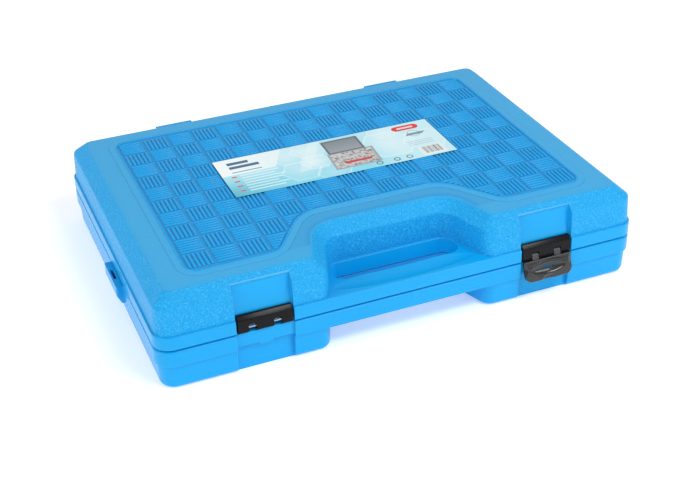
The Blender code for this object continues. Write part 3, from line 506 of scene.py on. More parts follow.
def blue_plastic():
    made = Finish("blue plastic", "blue_plastic", specular_ior_level=0.26)
    x, y, z = made.axes()
    latch = (x.size() - 116.3 * MM).size() < 22.6 * MM
    in_latch = latch * (y < FRONT + 9.6 * MM)
    wall = z.ramp(LID_BAND_TOP, LID_BAND_TOP + 0.5 * MM)
    wall = wall * (1 - z.ramp(PANEL - 0.9 * MM, PANEL - 0.2 * MM))
    grained = wall * (1 - in_latch)
    grain = made.noise(760.0, 2.0, 0.7)
    height = grained * grain + made.noise(2600.0, 1.0) * 0.02
    clouds = made.noise(14.0, 2.0)
    blue = made.colour(clouds, (0.002, 0.350, 0.775), (0.003, 0.390, 0.835))
    flat = z.ramp(PANEL - 1.6 * MM, PANEL - 0.05 * MM) * (z < PANEL + 0.5 * MM)
    dull = flat * (0.55 + made.noise(240.0, 3.0, 0.7) * 0.5)
    blue = made.colour(dull, blue, (0.055, 0.400, 0.730))
    bright = grain.ramp(0.53, 0.66)
    dark = 1 - grain.ramp(0.34, 0.47)
    blue = made.colour(grained * dark * 0.34, blue, (0.0, 0.23, 0.58))
    blue = made.colour(grained * bright * 0.42, blue, (0.10, 0.62, 1.0))
    # painted shade: the gaps between the ribs in the field are darkened in the base colour
    in_field = (x.size() < FIELD_X) * (y.size() < FIELD_Y) * (z > PANEL - 0.36 * MM)
    cavity = (1 - z.ramp(PANEL - 0.3 * MM, PANEL + 0.2 * MM)) * in_field
    blue = made.colour(cavity * 0.45, blue, (0.0, 0.19, 0.52))
    # painted highlight: rounded edges, where the soft-edge normal turns away from the true normal,
    # are lightened in the base colour
    rounded_normal = made.soft_edges(1.1 * MM)
    sharp_normal = made.node("NewGeometry", output="Normal")
    normals = {0: rounded_normal, 1: sharp_normal}
    turn = made.node("VectorMath", {"operation": "DOT_PRODUCT"}, normals, "Value")
    edge = (1 - turn).ramp(0.045, 0.2)
    blue = made.colour(edge * 0.42, blue, (0.12, 0.66, 1.0))
    rough = 0.27 + grained * 0.14 + (clouds - 0.5) * 0.1
    normal = made.bump(height, 1.0, 0.75 * MM, rounded_normal)
    return made.feed(base_color=blue, roughness=rough, normal=normal)


def plain_finish(name, slot, tones, clouds, rough, edge, relief=None, **constants):
    """A finish whose tone and gloss drift in clouds, over a fine relief where it has one."""
    made = Finish(name, slot, **constants)
    clouds = made.noise(*clouds)
    colour = made.colour(clouds, *tones)
    normal = made.soft_edges(edge * MM)
    if relief:
        noise, strength, distance = relief
        normal = made.bump(made.noise(*noise), strength, distance * MM, normal)
    least, drift = rough
    return made.feed(base_color=colour, roughness=least + clouds * drift, normal=normal)


def grip_rubber(name, band_low, band_high, ridge_low, ridge_high):
    """Black rubber with a blue band round it and rows of fine ridges for the fingers."""
    made = Finish(name, "grip_rubber")
    x = made.axes()[0]
    clouds = made.noise(120.0, 3.0)
    black = made.colour(clouds, (0.010, 0.010, 0.012), (0.024, 0.024, 0.027))
    banded = x.between(band_low, band_high)
    skin = made.colour(banded, black, (0.012, 0.30, 0.78))
    ridge = (x / (2.2 * MM)).part().between(0.0, 0.55) * x.between(ridge_low, ridge_high)
    height = made.noise(1400.0, 2.0) * 0.25 + ridge
    normal = made.bump(height, 0.5, 0.25 * MM, made.soft_edges(0.5 * MM))
    return made.feed(base_color=skin, roughness=0.52 + clouds * 0.2, normal=normal)


def label_print():
    """The printed film: a pale gradient, hexagons, a picture of the open case and plain bars."""
    made = Finish("printed label", "printed_label", specular_ior_level=0.4)
    x, y, _ = made.axes()
    u = (x - LABEL_LOW.x) * (1 / MM)
    v = (y - LABEL_LOW.y) * (1 / MM)

    def patch(left, low, right, high, lean=0.0):
        along = u - (v - low) * lean if lean else u
        return along.between(left, right) * v.between(low, high)

    def circle(cx, cy):
        return (u - cx) * (u - cx) + (v - cy) * (v - cy)

    def hexagon(cx, cy, size):
        """How far a point is from a hexagon's centre, over the hexagon's size."""
        across = (u - cx).size()
        up = (v - cy).size()
        return (across * 0.866 + up * 0.5).most(up) / size

    def print_over(*layers):
        nonlocal ink
        for mask, colour in layers:
            ink = made.colour(mask, ink, colour)

    cyan, teal = (0.26, 0.72, 0.87), (0.07, 0.42, 0.55)
    pale, white, navy = (0.66, 0.89, 0.94), (0.90, 0.97, 0.98), (0.06, 0.16, 0.28)
    fading = 1 - u.ramp(20.0, 74.0) * 0.5
    ink = made.colour((1 - u.ramp(-10.0, 52.0)) * (1 - v.ramp(0.0, 34.0)), cyan, teal)
    print_over(
        (v.ramp(14.0, 50.0) * (1 - u.ramp(60.0, 105.0) * 0.5) * 0.8, pale),
        (u.ramp(118.0, 150.0) * 0.72, pale),
        (patch(-30.0, 36.0, 46.0, 64.0, 0.5) * fading, white),
    )
    for cx, cy, size, strength in (
        (63.0, 20.0, 15.0, 0.35),
        (80.0, 52.0, 14.0, 0.55),
        (79.0, 30.0, 12.0, 0.75),
        (87.0, 8.0, 13.0, 0.25),
        (60.0, 47.0, 13.0, 0.30),
        (146.0, 34.0, 21.0, 0.45),
        (150.0, 58.0, 12.0, 0.35),
        (178.0, 30.0, 17.0, 0.30),
    ):
        reach = hexagon(cx, cy, size)
        print_over(
            ((reach < 1.0) * (1 - reach.ramp(0.0, 1.5)) * strength, white),
            (reach.between(0.96, 1.04) * 0.4, white),
        )
    # plain bars and dashes, which say nothing
    row = (v / 4.4).sum("FLOOR", v / 4.4)
    length = (row * 0.37).part() * 12.0 + 40.0
    line = (v / 4.4).part().between(0.3, 0.68) * v.between(4.6, 35.0) * u.between(14.0, 60.0)
    dash = ((v - 7.4) / 8.0).part() < 0.22
    print_over(
        (patch(60.0, 18.0, 70.0, 64.0, 0.55) * 0.35, white),
        (patch(9.7, 46.0, 35.3, 50.4), navy),
        (patch(9.7, 53.0, 28.0, 57.4), navy),
        (patch(9.7, 39.0, 35.3, 40.6) * 0.8, (0.08, 0.22, 0.36)),
        (line * (u < length) * 0.7, (0.88, 0.97, 0.99)),
        (dash * patch(6.8, 7.0, 11.2, 34.0), (0.72, 0.05, 0.06)),
    )
    # the open case: a grey lid standing over a tray of tools
    speck = made.noise(330.0, 3.0, 0.7)
    darks = made.node("TexVoronoi", {}, {"Vector": made.place(), "Scale": 300.0})
    tools = made.colour((speck - 0.5) * 3.0 + 0.5, (0.05, 0.05, 0.06), (0.62, 0.58, 0.54))
    tools = made.colour(darks.ramp(0.35, 0.6) * 0.6, tools, (0.75, 0.76, 0.78))
    shine = (1 - v.ramp(38.0, 60.0)) * 0.6
    panel = made.colour(shine, (0.20, 0.24, 0.28), (0.40, 0.44, 0.47))
    print_over(
        (patch(89.0, 8.6, 130.0, 37.0, 0.08), (0.36, 0.39, 0.42)),
        (patch(91.0, 10.4, 128.0, 35.4, 0.08), tools),
        (patch(100.0, 16.0, 124.0, 19.4, 0.08), (0.62, 0.04, 0.05)),
        (patch(93.0, 36.4, 126.0, 60.0, 0.03), (0.13, 0.16, 0.19)),
        (patch(95.0, 38.4, 124.0, 57.6, 0.03), panel),
    )
    # red tag, stamp, round marks and a panel of plain stripes
    tag = patch(163.0, 51.8, 179.0, 60.2)
    for end in (163.0, 179.0):
        tag = tag.most(circle(end, 56.0) < 17.6)
    print_over(
        (tag, (0.74, 0.03, 0.035)),
        (patch(163.5, 54.6, 178.5, 57.4) * 0.85, (0.95, 0.80, 0.80)),
        (circle(173.8, 43.5).between(24.0, 34.0) * 0.55, (0.16, 0.24, 0.30)),
        (patch(165.0, 40.6, 181.0, 44.4, 0.9) * 0.85, (0.16, 0.20, 0.24)),
    )
    for cx in (126.0, 141.6, 153.0):
        print_over((circle(cx, 5.8).between(3.0, 9.0) * 0.8, (0.06, 0.14, 0.18)))
    pale_line = ((v / 3.2).part() < 0.4) * patch(161.0, 22.0, 184.0, 32.0)
    stripes = {"W": u, "Scale": 1.1, "Detail": 1.0}
    gaps = made.node("TexNoise", {"noise_dimensions": "1D"}, stripes)
    print_over(
        (pale_line * 0.5, (0.30, 0.44, 0.50)),
        (patch(165.0, 2.0, 187.0, 18.0), (0.80, 0.86, 0.86)),
        (patch(167.0, 5.0, 185.0, 16.8) * (gaps > 0.5) * 0.8, (0.14, 0.15, 0.16)),
    )
    crease = made.bump(made.noise(22.0), 0.25, 0.6 * MM)
    return made.feed(base_color=ink, roughness=0.22 + made.noise(30.0) * 0.08, normal=crease)


BLUE = blue_plastic()
BLACK = plain_finish(
    "black plastic", "black_plastic", ((0.002, 0.002, 0.003), (0.006, 0.006, 0.008)),
    (60.0,), (0.2, 0.12), 0.35, ((1300.0, 3.0), 0.3, 0.08), specular_ior_level=0.16,
)
SMOKED = plain_finish(
    "smoked plastic", "smoked_plastic", ((0.003, 0.003, 0.004), (0.012, 0.013, 0.015)),
    (90.0, 3.0), (0.08, 0.12), 0.5, ((260.0,), 0.35, 0.5), coat_weight=0.45, coat_roughness=0.03,
)
TAB = plain_finish(
    "tab plastic", "black_plastic", ((0.030, 0.032, 0.036), (0.075, 0.078, 0.084)),
    (300.0,), (0.16, 0.1), 0.4, coat_weight=0.2, coat_roughness=0.1,
)
CHROME = plain_finish(
    "chrome steel", "chrome_steel", ((0.62, 0.63, 0.65), (0.76, 0.77, 0.79)),
    (70.0, 3.0), (0.13, 0.14), 0.3, ((1600.0, 2.0), 0.06, 0.05), metallic=1.0,
)
STEEL = plain_finish(
    "plain steel", "plain_steel", ((0.34, 0.34, 0.35), (0.50, 0.50, 0.51)),
    (900.0, 3.0), (0.25, 0.2), 0.25, ((900.0, 3.0), 0.1, 0.05), metallic=1.0,
)
BLACK_STEEL = plain_finish(
    "black steel", "black_steel", ((0.022, 0.022, 0.026), (0.065, 0.064, 0.062)),
    (180.0, 3.0), (0.3, 0.25), 0.3, ((1500.0,), 0.15, 0.05), metallic=0.85,
)
PRINT = label_print()


# ---------------------------------------------------------------- the case


def finger_opening():
    """The opening narrows from both sides towards the parting line, as a moulding does."""
    middle_y = FRONT + HANDLE_WIDTH + FINGER_WIDTH / 2
    corners = rectangle(FINGER_LENGTH / 2, FINGER_WIDTH / 2, FINGER_RADIUS, (0.0, middle_y))
    rings = []
    for inset, z in (
        (0.0, BASE_BAND_FOOT - OVERRUN),
        (0.0, BASE_BAND_FOOT),
        (FINGER_DRAFT, HINGE_HEIGHT),
        (0.0, LID_BAND_TOP),
        (0.0, LID_BAND_TOP + OVERRUN),
    ):
        rings.append(ring(rounded(corners, inset=inset), z))
    return loft("finger opening", rings)


def latch_recess(x, profile):
    return prism("latch recess", profile, x - LATCH_HALF_WIDTH, x + LATCH_HALF_WIDTH)


def lid_latch_recess(x):
    floor = FRONT + 5.4 * MM
    return latch_recess(x, [
        (FRONT - OVERRUN, LID_BOTTOM - OVERRUN),
        (floor, LID_BOTTOM - OVERRUN),
        (floor, LID_BOTTOM + 13.6 * MM),
        (floor + 3.2 * MM, PANEL - 5 * MM),
        (FRONT - OVERRUN, PANEL - 5 * MM),
    ])


def base_latch_recess(x):
    floor = FRONT + 5.6 * MM
    return latch_recess(x, [
        (FRONT - OVERRUN, -OVERRUN),
        (floor, -OVERRUN),
        (floor, LATCH_LEDGE),
        (LATCH_FACE, LATCH_LEDGE),
        (LATCH_FACE, PARTING_LOW + OVERRUN),
        (FRONT - OVERRUN, PARTING_LOW + OVERRUN),
    ])


def bar_dish():
    """The shallow dish that runs along the top of the handle bar."""
    place = (0.0, FRONT + 12.2 * MM, LID_BAND_TOP + 0.35 * MM)
    return lump("dish", place, (60 * MM, 9.4 * MM, 1.9 * MM), 48)


def blow_hole(y, z):
    """The small hole that blow moulding leaves in a hidden face."""
    return bar("blow hole", 2.5 * MM, (-OVERRUN, 2.4 * MM), (0, y, z), sides=20)


def build_lid():
    slope_foot = PANEL - 9.6 * MM
    profile = [
        (BAND_PROUD, LID_BOTTOM + 1.5 * MM, 0.0),
        (BAND_PROUD, LID_BAND_TOP, 0.0),
        (2.7 * MM, slope_foot, 2.5 * MM),
        (13.4 * MM, PANEL - 0.3 * MM, 5.0 * MM),
        (19.0 * MM, PANEL, 0.0),
    ]
    lid = case_body("lid_case", True, profile)
    band = case_body(
        "band",
        False,
        [
            (1.5 * MM, LID_BOTTOM, 0.0),
            (0.0, LID_BOTTOM + 0.9 * MM, 0.9 * MM),
            (0.0, LID_BAND_TOP - 0.1 * MM, 0.8 * MM),
            (3.2 * MM, LID_BAND_TOP, 0.0),
        ],
    )
    combine(band, bar_dish())
    combine(band, finger_opening())
    combine(lid, band, "UNION")
    cavity = [(RIM_WIDTH, LID_BOTTOM - OVERRUN, 0.0), (RIM_WIDTH + 0.8 * MM, LID_CEILING, 0.0)]
    combine(lid, case_body("cavity", True, cavity, steps=6))
    for x in LATCHES:
        combine(lid, lid_latch_recess(x))
    add_lid_hinges(lid)
    combine(lid, field_plate("floor", FIELD_FLOOR))
    return combine(lid, blow_hole(BACK - 2 * RIM_WIDTH, LID_CEILING))


def hinge_bore(x):
    return bar("bore", HINGE_BORE, (-20 * MM, 20 * MM), (x, HINGE_LINE, HINGE_HEIGHT), "x", 24)


def hinge_knuckle(x, half):
    return bar("knuckle", KNUCKLE, (-half, half), (x, HINGE_LINE, HINGE_HEIGHT), "x", 32)


def add_lid_hinges(lid):
    low, high, half = HINGE_HEIGHT + 8.5 * MM, HINGE_HEIGHT + 34.7 * MM, 7.7 * MM
    inner, outer, sharp = BACK - 6 * MM, BACK + 7.4 * MM, 0.001 * MM
    boss = [
        (inner, low, sharp),
        (outer, low, 1.2 * MM),
        (outer, high, 2.5 * MM),
        (inner, high, sharp),
    ]
    for x in HINGES:
        combine(lid, prism("boss", rounded(boss, steps=4), x - 16 * MM, x + 16 * MM), "UNION")
        combine(lid, hinge_knuckle(x, half), "UNION")
        arm_low = (x - half + 0.1 * MM, HINGE_LINE - 4.4 * MM, HINGE_HEIGHT)
        arm_high = (x + half - 0.1 * MM, HINGE_LINE + 1.1 * MM, low + 3 * MM)
        combine(lid, box("arm", arm_low, arm_high), "UNION")
        combine(lid, hinge_bore(x))


def add_base_hinges(base):
    inner, outer = 8.2 * MM, 16 * MM
    web = [
        (BACK - 3.2 * MM, HINGE_HEIGHT - 12.1 * MM),
        (HINGE_LINE - 1.6 * MM, HINGE_HEIGHT - 5 * MM),
        (HINGE_LINE, HINGE_HEIGHT - 1.7 * MM),
        (BACK - 3.2 * MM, PARTING_LOW - 0.8 * MM),
    ]
    for x in HINGES:
        for side in (-1, 1):
            left, right = sorted((x + side * inner, x + side * outer))
            combine(base, hinge_knuckle((left + right) / 2, (outer - inner) / 2), "UNION")
            combine(base, prism("web", web, left + 0.1 * MM, right - 0.1 * MM), "UNION")
        combine(base, hinge_bore(x))


def round_pit(x, y, radius, floor):
    return bar("pit", radius, (floor, DECK + 4 * MM), (x, y, 0), sides=40)


def long_pit(x0, x1, y, half_width, floor):
    low, high = (x0, y - half_width, floor), (x1, y + half_width, DECK + 4 * MM)
    return box("pit", low, high, 2.2 * MM, 4, vertical)


def tool_pits():
    """The pockets of the deck in three layers, each from the tools that lie in it."""
    clear, gap = 0.8 * MM, 0.3 * MM
    layers = [[], [], []]
    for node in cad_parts:
        low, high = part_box(node)
        centre, half = (low + high) / 2, (high - low) / 2
        floor = low.z - gap
        if node.startswith("socket_"):
            layers[0].append(round_pit(centre.x, centre.y, half.x + clear, floor))
        elif node.startswith("extension_") or node == "spark_plug_socket":
            left, right = low.x - clear, high.x + clear
            layers[0].append(long_pit(left, right, centre.y, half.y + clear, floor))
    for kind, drive in DRIVES.items():
        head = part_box(f"ratchet_{kind}_drive")
        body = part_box(f"ratchet_{kind}_body")
        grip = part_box(f"ratchet_{kind}_grip")
        x, y = (head[0].x + head[1].x) / 2, (head[0].y + head[1].y) / 2
        wide = (grip[1].y - grip[0].y) / 2
        left, right = x - clear, grip[1].x + clear
        layers[0].append(long_pit(left, right, y, wide + clear, grip[0].z - gap))
        layers[1].append(round_pit(x, y, x - body[0].x + clear, body[0].z - gap))
        layers[2].append(round_pit(x, y, 0.75 * drive + clear, head[0].z - gap))
    shaft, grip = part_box("spinner_shaft"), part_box("spinner_grip")
    left, right = shaft[0].x - clear, grip[1].x + clear
    y, half = (grip[0].y + grip[1].y) / 2, (grip[1].y - grip[0].y) / 2
    layers[0].append(long_pit(left, right, y, half + clear, grip[0].z - gap))
    low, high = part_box("hex_key_6")
    margin = 3 * MM
    y, half = (low.y + high.y) / 2, (high.y - low.y) / 2 + margin
    layers[0].append(long_pit(low.x - margin, high.x + margin, y, half, low.z - gap))
    return [joined(layer, "pits") for layer in layers]


def side_boss(base):
    """The boss low on the left side, with a slot in its top for a tie."""
    back, top = FRONT + 138.8 * MM, PARTING_LOW - 0.4 * MM
    front, face = back - 39 * MM, LEFT - 5.4 * MM
    rings = []
    for z, chamfer, taper in ((top - 18 * MM, 4 * MM, 3.6 * MM), (top - 9 * MM, 0, 0), (top, 0, 0)):
        corners = [
            (face + taper, front + chamfer, 1.5 * MM),
            (LEFT + 4 * MM, front + chamfer, 0.01 * MM),
            (LEFT + 4 * MM, back - chamfer, 0.01 * MM),
            (face + taper, back - chamfer, 1.5 * MM),
        ]
        rings.append(ring(rounded(corners, steps=4), z))
    combine(base, loft("boss", rings), "UNION")
    middle = (front + back) / 2
    low = (face + 1.6 * MM, middle - 7 * MM, top - 8 * MM)
    high = (face + 4 * MM, middle + 7 * MM, top + OVERRUN)
    combine(base, box("slot", low, high, 0.9 * MM, 3, vertical))


def build_base():
    body_inset = BAND_PROUD + 0.9 * MM
    profile = [
        (body_inset + 6.0 * MM, 0.0, 0.0),
        (body_inset, 0.0, 4.0 * MM),
        (BAND_PROUD, BASE_BAND_FOOT, 0.0),
        (BAND_PROUD, PARTING_LOW - 1.5 * MM, 0.0),
    ]
    base = case_body("base_case", True, profile)
    band = case_body(
        "band",
        False,
        [
            (2.6 * MM, BASE_BAND_FOOT, 0.0),
            (0.0, BASE_BAND_FOOT + 0.25 * MM, 0.8 * MM),
            (0.0, PARTING_LOW - 1.3 * MM, 0.9 * MM),
            (1.5 * MM, PARTING_LOW - 0.35 * MM, 0.0),
        ],
    )
    combine(band, finger_opening())
    combine(base, band, "UNION")
    deck = [(RIM_WIDTH, DECK, 0.0), (RIM_WIDTH, PARTING_LOW + OVERRUN, 0.0)]
    combine(base, case_body("deck", True, deck, steps=6))
    for pits in tool_pits():
        combine(base, pits)
    for x in LATCHES:
        combine(base, base_latch_recess(x))
        low = (x - 5 * MM, LATCH_FACE, LATCH_LEDGE - 2 * MM)
        high = (x + 5 * MM, FRONT + 5.9 * MM, LATCH_LEDGE + 0.3 * MM)
        combine(base, box("dip", low, high), "UNION")
    side_boss(base)
    add_base_hinges(base)
    return combine(base, blow_hole(FRONT + RECESS_DEPTH + 2 * RIM_WIDTH, 0))


# ------------------------------------------------------- the lid's pattern

FIELD_FLOOR = [(-0.9 * MM, PANEL - 0.3 * MM), (-0.9 * MM, PANEL + 3 * MM)]


def field_line(outset=0.0):
    """The field's outline: a rectangle that steps back round the handle."""
    corners = [
        (-FIELD_X, -FIELD_Y, 11 * MM),
        (-93.5 * MM, -FIELD_Y, 18 * MM),
        (-60 * MM, -64.5 * MM, 30 * MM),
        (60 * MM, -64.5 * MM, 30 * MM),
        (93.5 * MM, -FIELD_Y, 18 * MM),
        (FIELD_X, -FIELD_Y, 11 * MM),
        (FIELD_X, FIELD_Y, 11 * MM),
        (-FIELD_X, FIELD_Y, 11 * MM),
    ]
    return rounded(corners, inset=-outset, steps=12)


def field_plate(name, layers):
    """A low plate in the field's outline through (outset, height) layers."""
    return loft(name, [ring(field_line(outset), z) for outset, z in layers])


def one_rib():
    """A low bar with round ends, lying along X, its crown drawn in three times."""
    deselect()
    radius = RIB_WIDTH / 2
    bpy.ops.mesh.primitive_circle_add(
        vertices=12, radius=radius, fill_type="NGON", rotation=(0, 0, math.pi / 12)
    )
    rib = named("rib")
    settle(rib)
    bpy.ops.object.mode_set(mode="EDIT")
    for side in (-1, 1):
        pick(rib, "VERT", lambda vert: vert.co.x * side > 0 and abs(vert.co.x) < 2 * radius)
        bpy.ops.transform.translate(value=(side * (RIB_LENGTH / 2 - radius), 0, 0))
    bpy.ops.mesh.select_mode(type="FACE")
    bpy.ops.mesh.select_all(action="SELECT")
    extrude(0, 0, 0.9 * MM)
    for inward, up in ((0.22, 0.30), (0.36, 0.22), (0.34, 0.06)):
        bpy.ops.mesh.inset(thickness=inward * MM, depth=up * MM)
    close_up()
    return rib


def repeat(piece, count, step):
    array = piece.modifiers.new("repeat", "ARRAY")
    array.count = count
    array.use_relative_offset = False
    array.use_constant_offset = True
    array.constant_offset_displace = step
    array.use_merge_vertices = False


def tile_group(rib, turned_round, column, row):
    """Every other tile in both directions, starting from one tile."""
    group = rib.copy()
    group.data = rib.data.copy()
    bpy.context.scene.collection.objects.link(group)
    span = (RIBS_PER_TILE - 1) * RIB_PITCH / 2
    x = (column - (TILE_COLUMNS - 1) / 2) * TILE
    y = ((TILE_ROWS - 1) / 2 - row) * TILE
    if turned_round:
        group.rotation_euler = (0, 0, math.pi / 2)
        group.location = (x - span, y, PANEL - 0.5 * MM)
        step = (RIB_PITCH, 0, 0)
    else:
        group.location = (x, y - span, PANEL - 0.5 * MM)
        step = (0, RIB_PITCH, 0)
    settle(group)
    repeat(group, RIBS_PER_TILE, step)
    repeat(group, (TILE_COLUMNS - column + 1) // 2, (2 * TILE, 0, 0))
    repeat(group, (TILE_ROWS - row + 1) // 2, (0, -2 * TILE, 0))
    return apply_steps(group)


def build_ribs():
    rib = one_rib()
    starts = ((False, 0, 0), (False, 1, 1), (True, 1, 0), (True, 0, 1))
    groups = [tile_group(rib, *start) for start in starts]
    bpy.data.objects.remove(rib)
    ribs = joined(groups, "lid_ribs")
    inside = field_plate("inside", [(-1.9 * MM, PANEL - 2 * MM), (-1.9 * MM, PANEL + 3 * MM)])
    return combine(ribs, inside, "INTERSECT", "MANIFOLD")


def build_bead():
    """The round bead that frames the ribs."""
    return wire("lid_bead", ring(field_line(), PANEL - 0.15 * MM), 1.15 * MM, 4, closed=True)


def build_field_plate():
    """The slightly raised panel inside the outer line."""
    low, top = PANEL - 0.5 * MM, PANEL + 0.42 * MM
    layers = [(6.1 * MM, low), (6.1 * MM, top - 0.1 * MM), (5.9 * MM, top), (0.0, top)]
    through = [(-0.7 * MM, low - 1 * MM), (-0.7 * MM, top + 1 * MM)]
    return combine(field_plate("lid_panel", layers), field_plate("through", through))


# ------------------------------------------------------------- latches


def latch_bore(x, pin):
    return bar("bore", LATCH_BORE, (-25 * MM, 25 * MM), (x, pin.y, pin.z), "x", 20)


def tapering_block(side, x):
    """The latch's hinge block on the lid: a wide sloping top and two notches for the tabs."""
    low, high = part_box(f"latch_block_{side}")
    block = box(f"latch_hinge_{side}", low, high)
    edit(block)
    at_front = lambda vert: vert.co.y < low.y + 1e-5 and vert.co.z > high.z - 1e-5
    pick(block, "EDGE", lambda edge: all(map(at_front, edge.verts)))
    bpy.ops.mesh.bevel(offset=3.1 * MM, segments=1, affect="EDGES")
    pick(block, "EDGE", lambda edge: all(v.co.z > high.z - 3.3 * MM for v in edge.verts))
    bpy.ops.mesh.bevel(offset=0.45 * MM, segments=3, affect="EDGES")
    bpy.ops.object.mode_set(mode="OBJECT")
    pin = middle(f"latch_pin_{side}")
    for shift in TABS:
        near = (x + shift - 3.1 * MM, low.y - OVERRUN, low.z - OVERRUN)
        far = (x + shift + 3.1 * MM, high.y + OVERRUN, pin.z + 3.2 * MM)
        combine(block, box("notch", near, far, 0.6 * MM, 3, lambda edge: not vertical(edge)))
    combine(block, latch_bore(x, pin))
    return dress(block, BLACK, "lid", f"latch_block_{side}")


def steel_pin(kind, side, radius, edge, sides, body):
    """A straight pin with broken edges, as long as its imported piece."""
    node = f"{kind}_pin_{side}"
    low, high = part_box(node)
    half, thin = (high.x - low.x) / 2, radius - edge
    ends = [(thin, -half), (radius, edge - half), (radius, half - edge), (thin, half)]
    pin = turned(f"{kind}_rod_{side}", ends, middle(node), "x", sides)
    return dress(pin, STEEL, body, node)


def latch_lever(x):
    """The glossy lever, made hanging straight down and then swung out on its pin."""
    pin = middle("latch_pin_right")
    line, height = pin.y, pin.z
    half, top, length, back, thick = 20.75 * MM, 3.7 * MM, 17.4 * MM, -0.6 * MM, 2.8 * MM
    face, foot = line + back - thick, height - top - length
    low, high = (x - half, face, foot), (x + half, line + back, height - top)

    def lower(edge):
        first, second = (vert.co for vert in edge.verts)
        at_foot = max(abs(first.z - foot), abs(second.z - foot)) < 1e-5
        return at_foot and abs(first.x - second.x) < 1e-6

    lever = box("latch_lever", low, high, 6 * MM, 8, lower)
    edit(lever)
    pick(lever, "EDGE", lambda edge: all(v.co.y < face + 1e-5 for v in edge.verts))
    bpy.ops.mesh.bevel(offset=0.7 * MM, segments=3, affect="EDGES")
    bpy.ops.object.mode_set(mode="OBJECT")
    # dished pad and a scoop at each end
    pad_place = (x, face - 0.1 * MM, height - top - 0.47 * length)
    combine(lever, lump("pad", pad_place, (15.5 * MM, 1.9 * MM, 4.9 * MM)))
    for shift in (-1, 1):
        place = (x + shift * (half + 1.5 * MM), face - 0.5 * MM, height - top - 0.35 * length)
        combine(lever, lump("scoop", place, (4.2 * MM, 1.9 * MM, 7 * MM), 24))
    # slot
    slot_top = height - 10.6 * MM
    slot_low = (x - 4.85 * MM, face - OVERRUN, slot_top - 1.8 * MM)
    slot_high = (x + 4.85 * MM, line + OVERRUN, slot_top)
    deep = lambda edge: abs(edge.verts[0].co.y - edge.verts[1].co.y) > 1 * MM
    combine(lever, box("slot", slot_low, slot_high, 0.7 * MM, 3, deep))
    # dent for the thumb at the lever's foot
    thumb_place = (x, face - 0.4 * MM, foot - 0.2 * MM)
    combine(lever, lump("thumb", thumb_place, (6.4 * MM, 2.2 * MM, 4.2 * MM)))
    # arched ridge
    points = []
    for step in range(17):
        across = -1 + step / 8
        drop = 2.2 * MM + 2.6 * MM * across * across
        points.append((x + across * 15.5 * MM, face - 0.05 * MM, height - top - drop))
    combine(lever, wire("ridge", points, 0.85 * MM, 3), "UNION")
    # tabs with their eyes, and the hook behind
    tabs = []
    for shift in TABS:
        left, right = x + shift - 2.75 * MM, x + shift + 2.75 * MM
        eye = bar("eye", 2 * MM, (-2.8 * MM, 2.8 * MM), (x + shift, line, height), "x", 24)
        arm_low = (left, line + back - 1.4 * MM, height - top - 1.5 * MM)
        combine(eye, box("arm", arm_low, (right, line + back, height)), "UNION")
        tabs.append(combine(eye, latch_bore(x, pin)))
    hook_top = PARTING_LOW - 14 * MM
    hook = [
        (line + back - 0.5 * MM, hook_top),
        (line + back + 1.2 * MM, hook_top),
        (line + back - 0.5 * MM, hook_top - 2.4 * MM),
    ]
    combine(lever, prism("hook", hook, x - 4.5 * MM, x + 4.5 * MM), "UNION")
    tilt = Matrix.Rotation(math.radians(-LEVER_TILT), 4, "X")
    place = Vector((x, line, height))
    tab = joined(tabs, "latch_tabs")
    for piece in (lever, tab):
        piece.matrix_world = Matrix.Translation(place) @ tilt @ Matrix.Translation(-place)
        settle(piece)
    dress(tab, TAB, "latch_lever")
    return dress(lever, SMOKED, "latch_lever", "latch_lever_right")


# --------------------------------------------------------------- tools


def upright_socket(node):
    low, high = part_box(node)
    kind, size = node.split("_")[1:]
    half = kind == "half"
    radius = (high.x - low.x) / 2
    end = min(radius, (11.5 if half else 6.0) * MM)
    depth = (15.5 if half else 8) * MM
    length = high.z - low.z
    groove = 0.25 * MM
    along = lambda share: low.z + share * length
    profile = [
        (end - EDGE, low.z),
        (end - 0.3 * EDGE, low.z + 0.3 * EDGE),
        (end, low.z + EDGE),
        (end, along(0.16)),
        (end - groove, along(0.17)),
        (end - groove, along(0.21)),
        (end, along(0.22)),
        (end, along(0.42)),
        (radius, along(0.50)),
        (radius, along(0.86)),
        (radius - groove, along(0.87)),
        (radius - groove, along(0.89)),
        (radius, along(0.90)),
        (radius, high.z - EDGE),
        (radius - 0.3 * EDGE, high.z - 0.3 * EDGE),
        (radius - EDGE, high.z),
    ]
    place = (*middle(node).xy, 0)
    socket = turned(node + "_turned", profile, place)
    across = int(size) * MM / 2 / math.cos(math.pi / 6)
    lead = [
        (across, low.z + depth + 3 * MM),
        (across, high.z - 0.8 * MM),
        (across + EDGE, high.z + 0.1 * MM),
        (across + EDGE, high.z + OVERRUN),
    ]
    combine(socket, turned("hexagon", lead, place, sides=6, phase=math.pi / 6))
    side = (DRIVES[kind] / 2 + DRIVE_PLAY) * math.sqrt(2)
    ends = (low.z - OVERRUN, low.z + depth)
    combine(socket, bar("square", side, ends, place, sides=4, phase=math.pi / 4))
    return dress(socket, CHROME, "case_base", node)


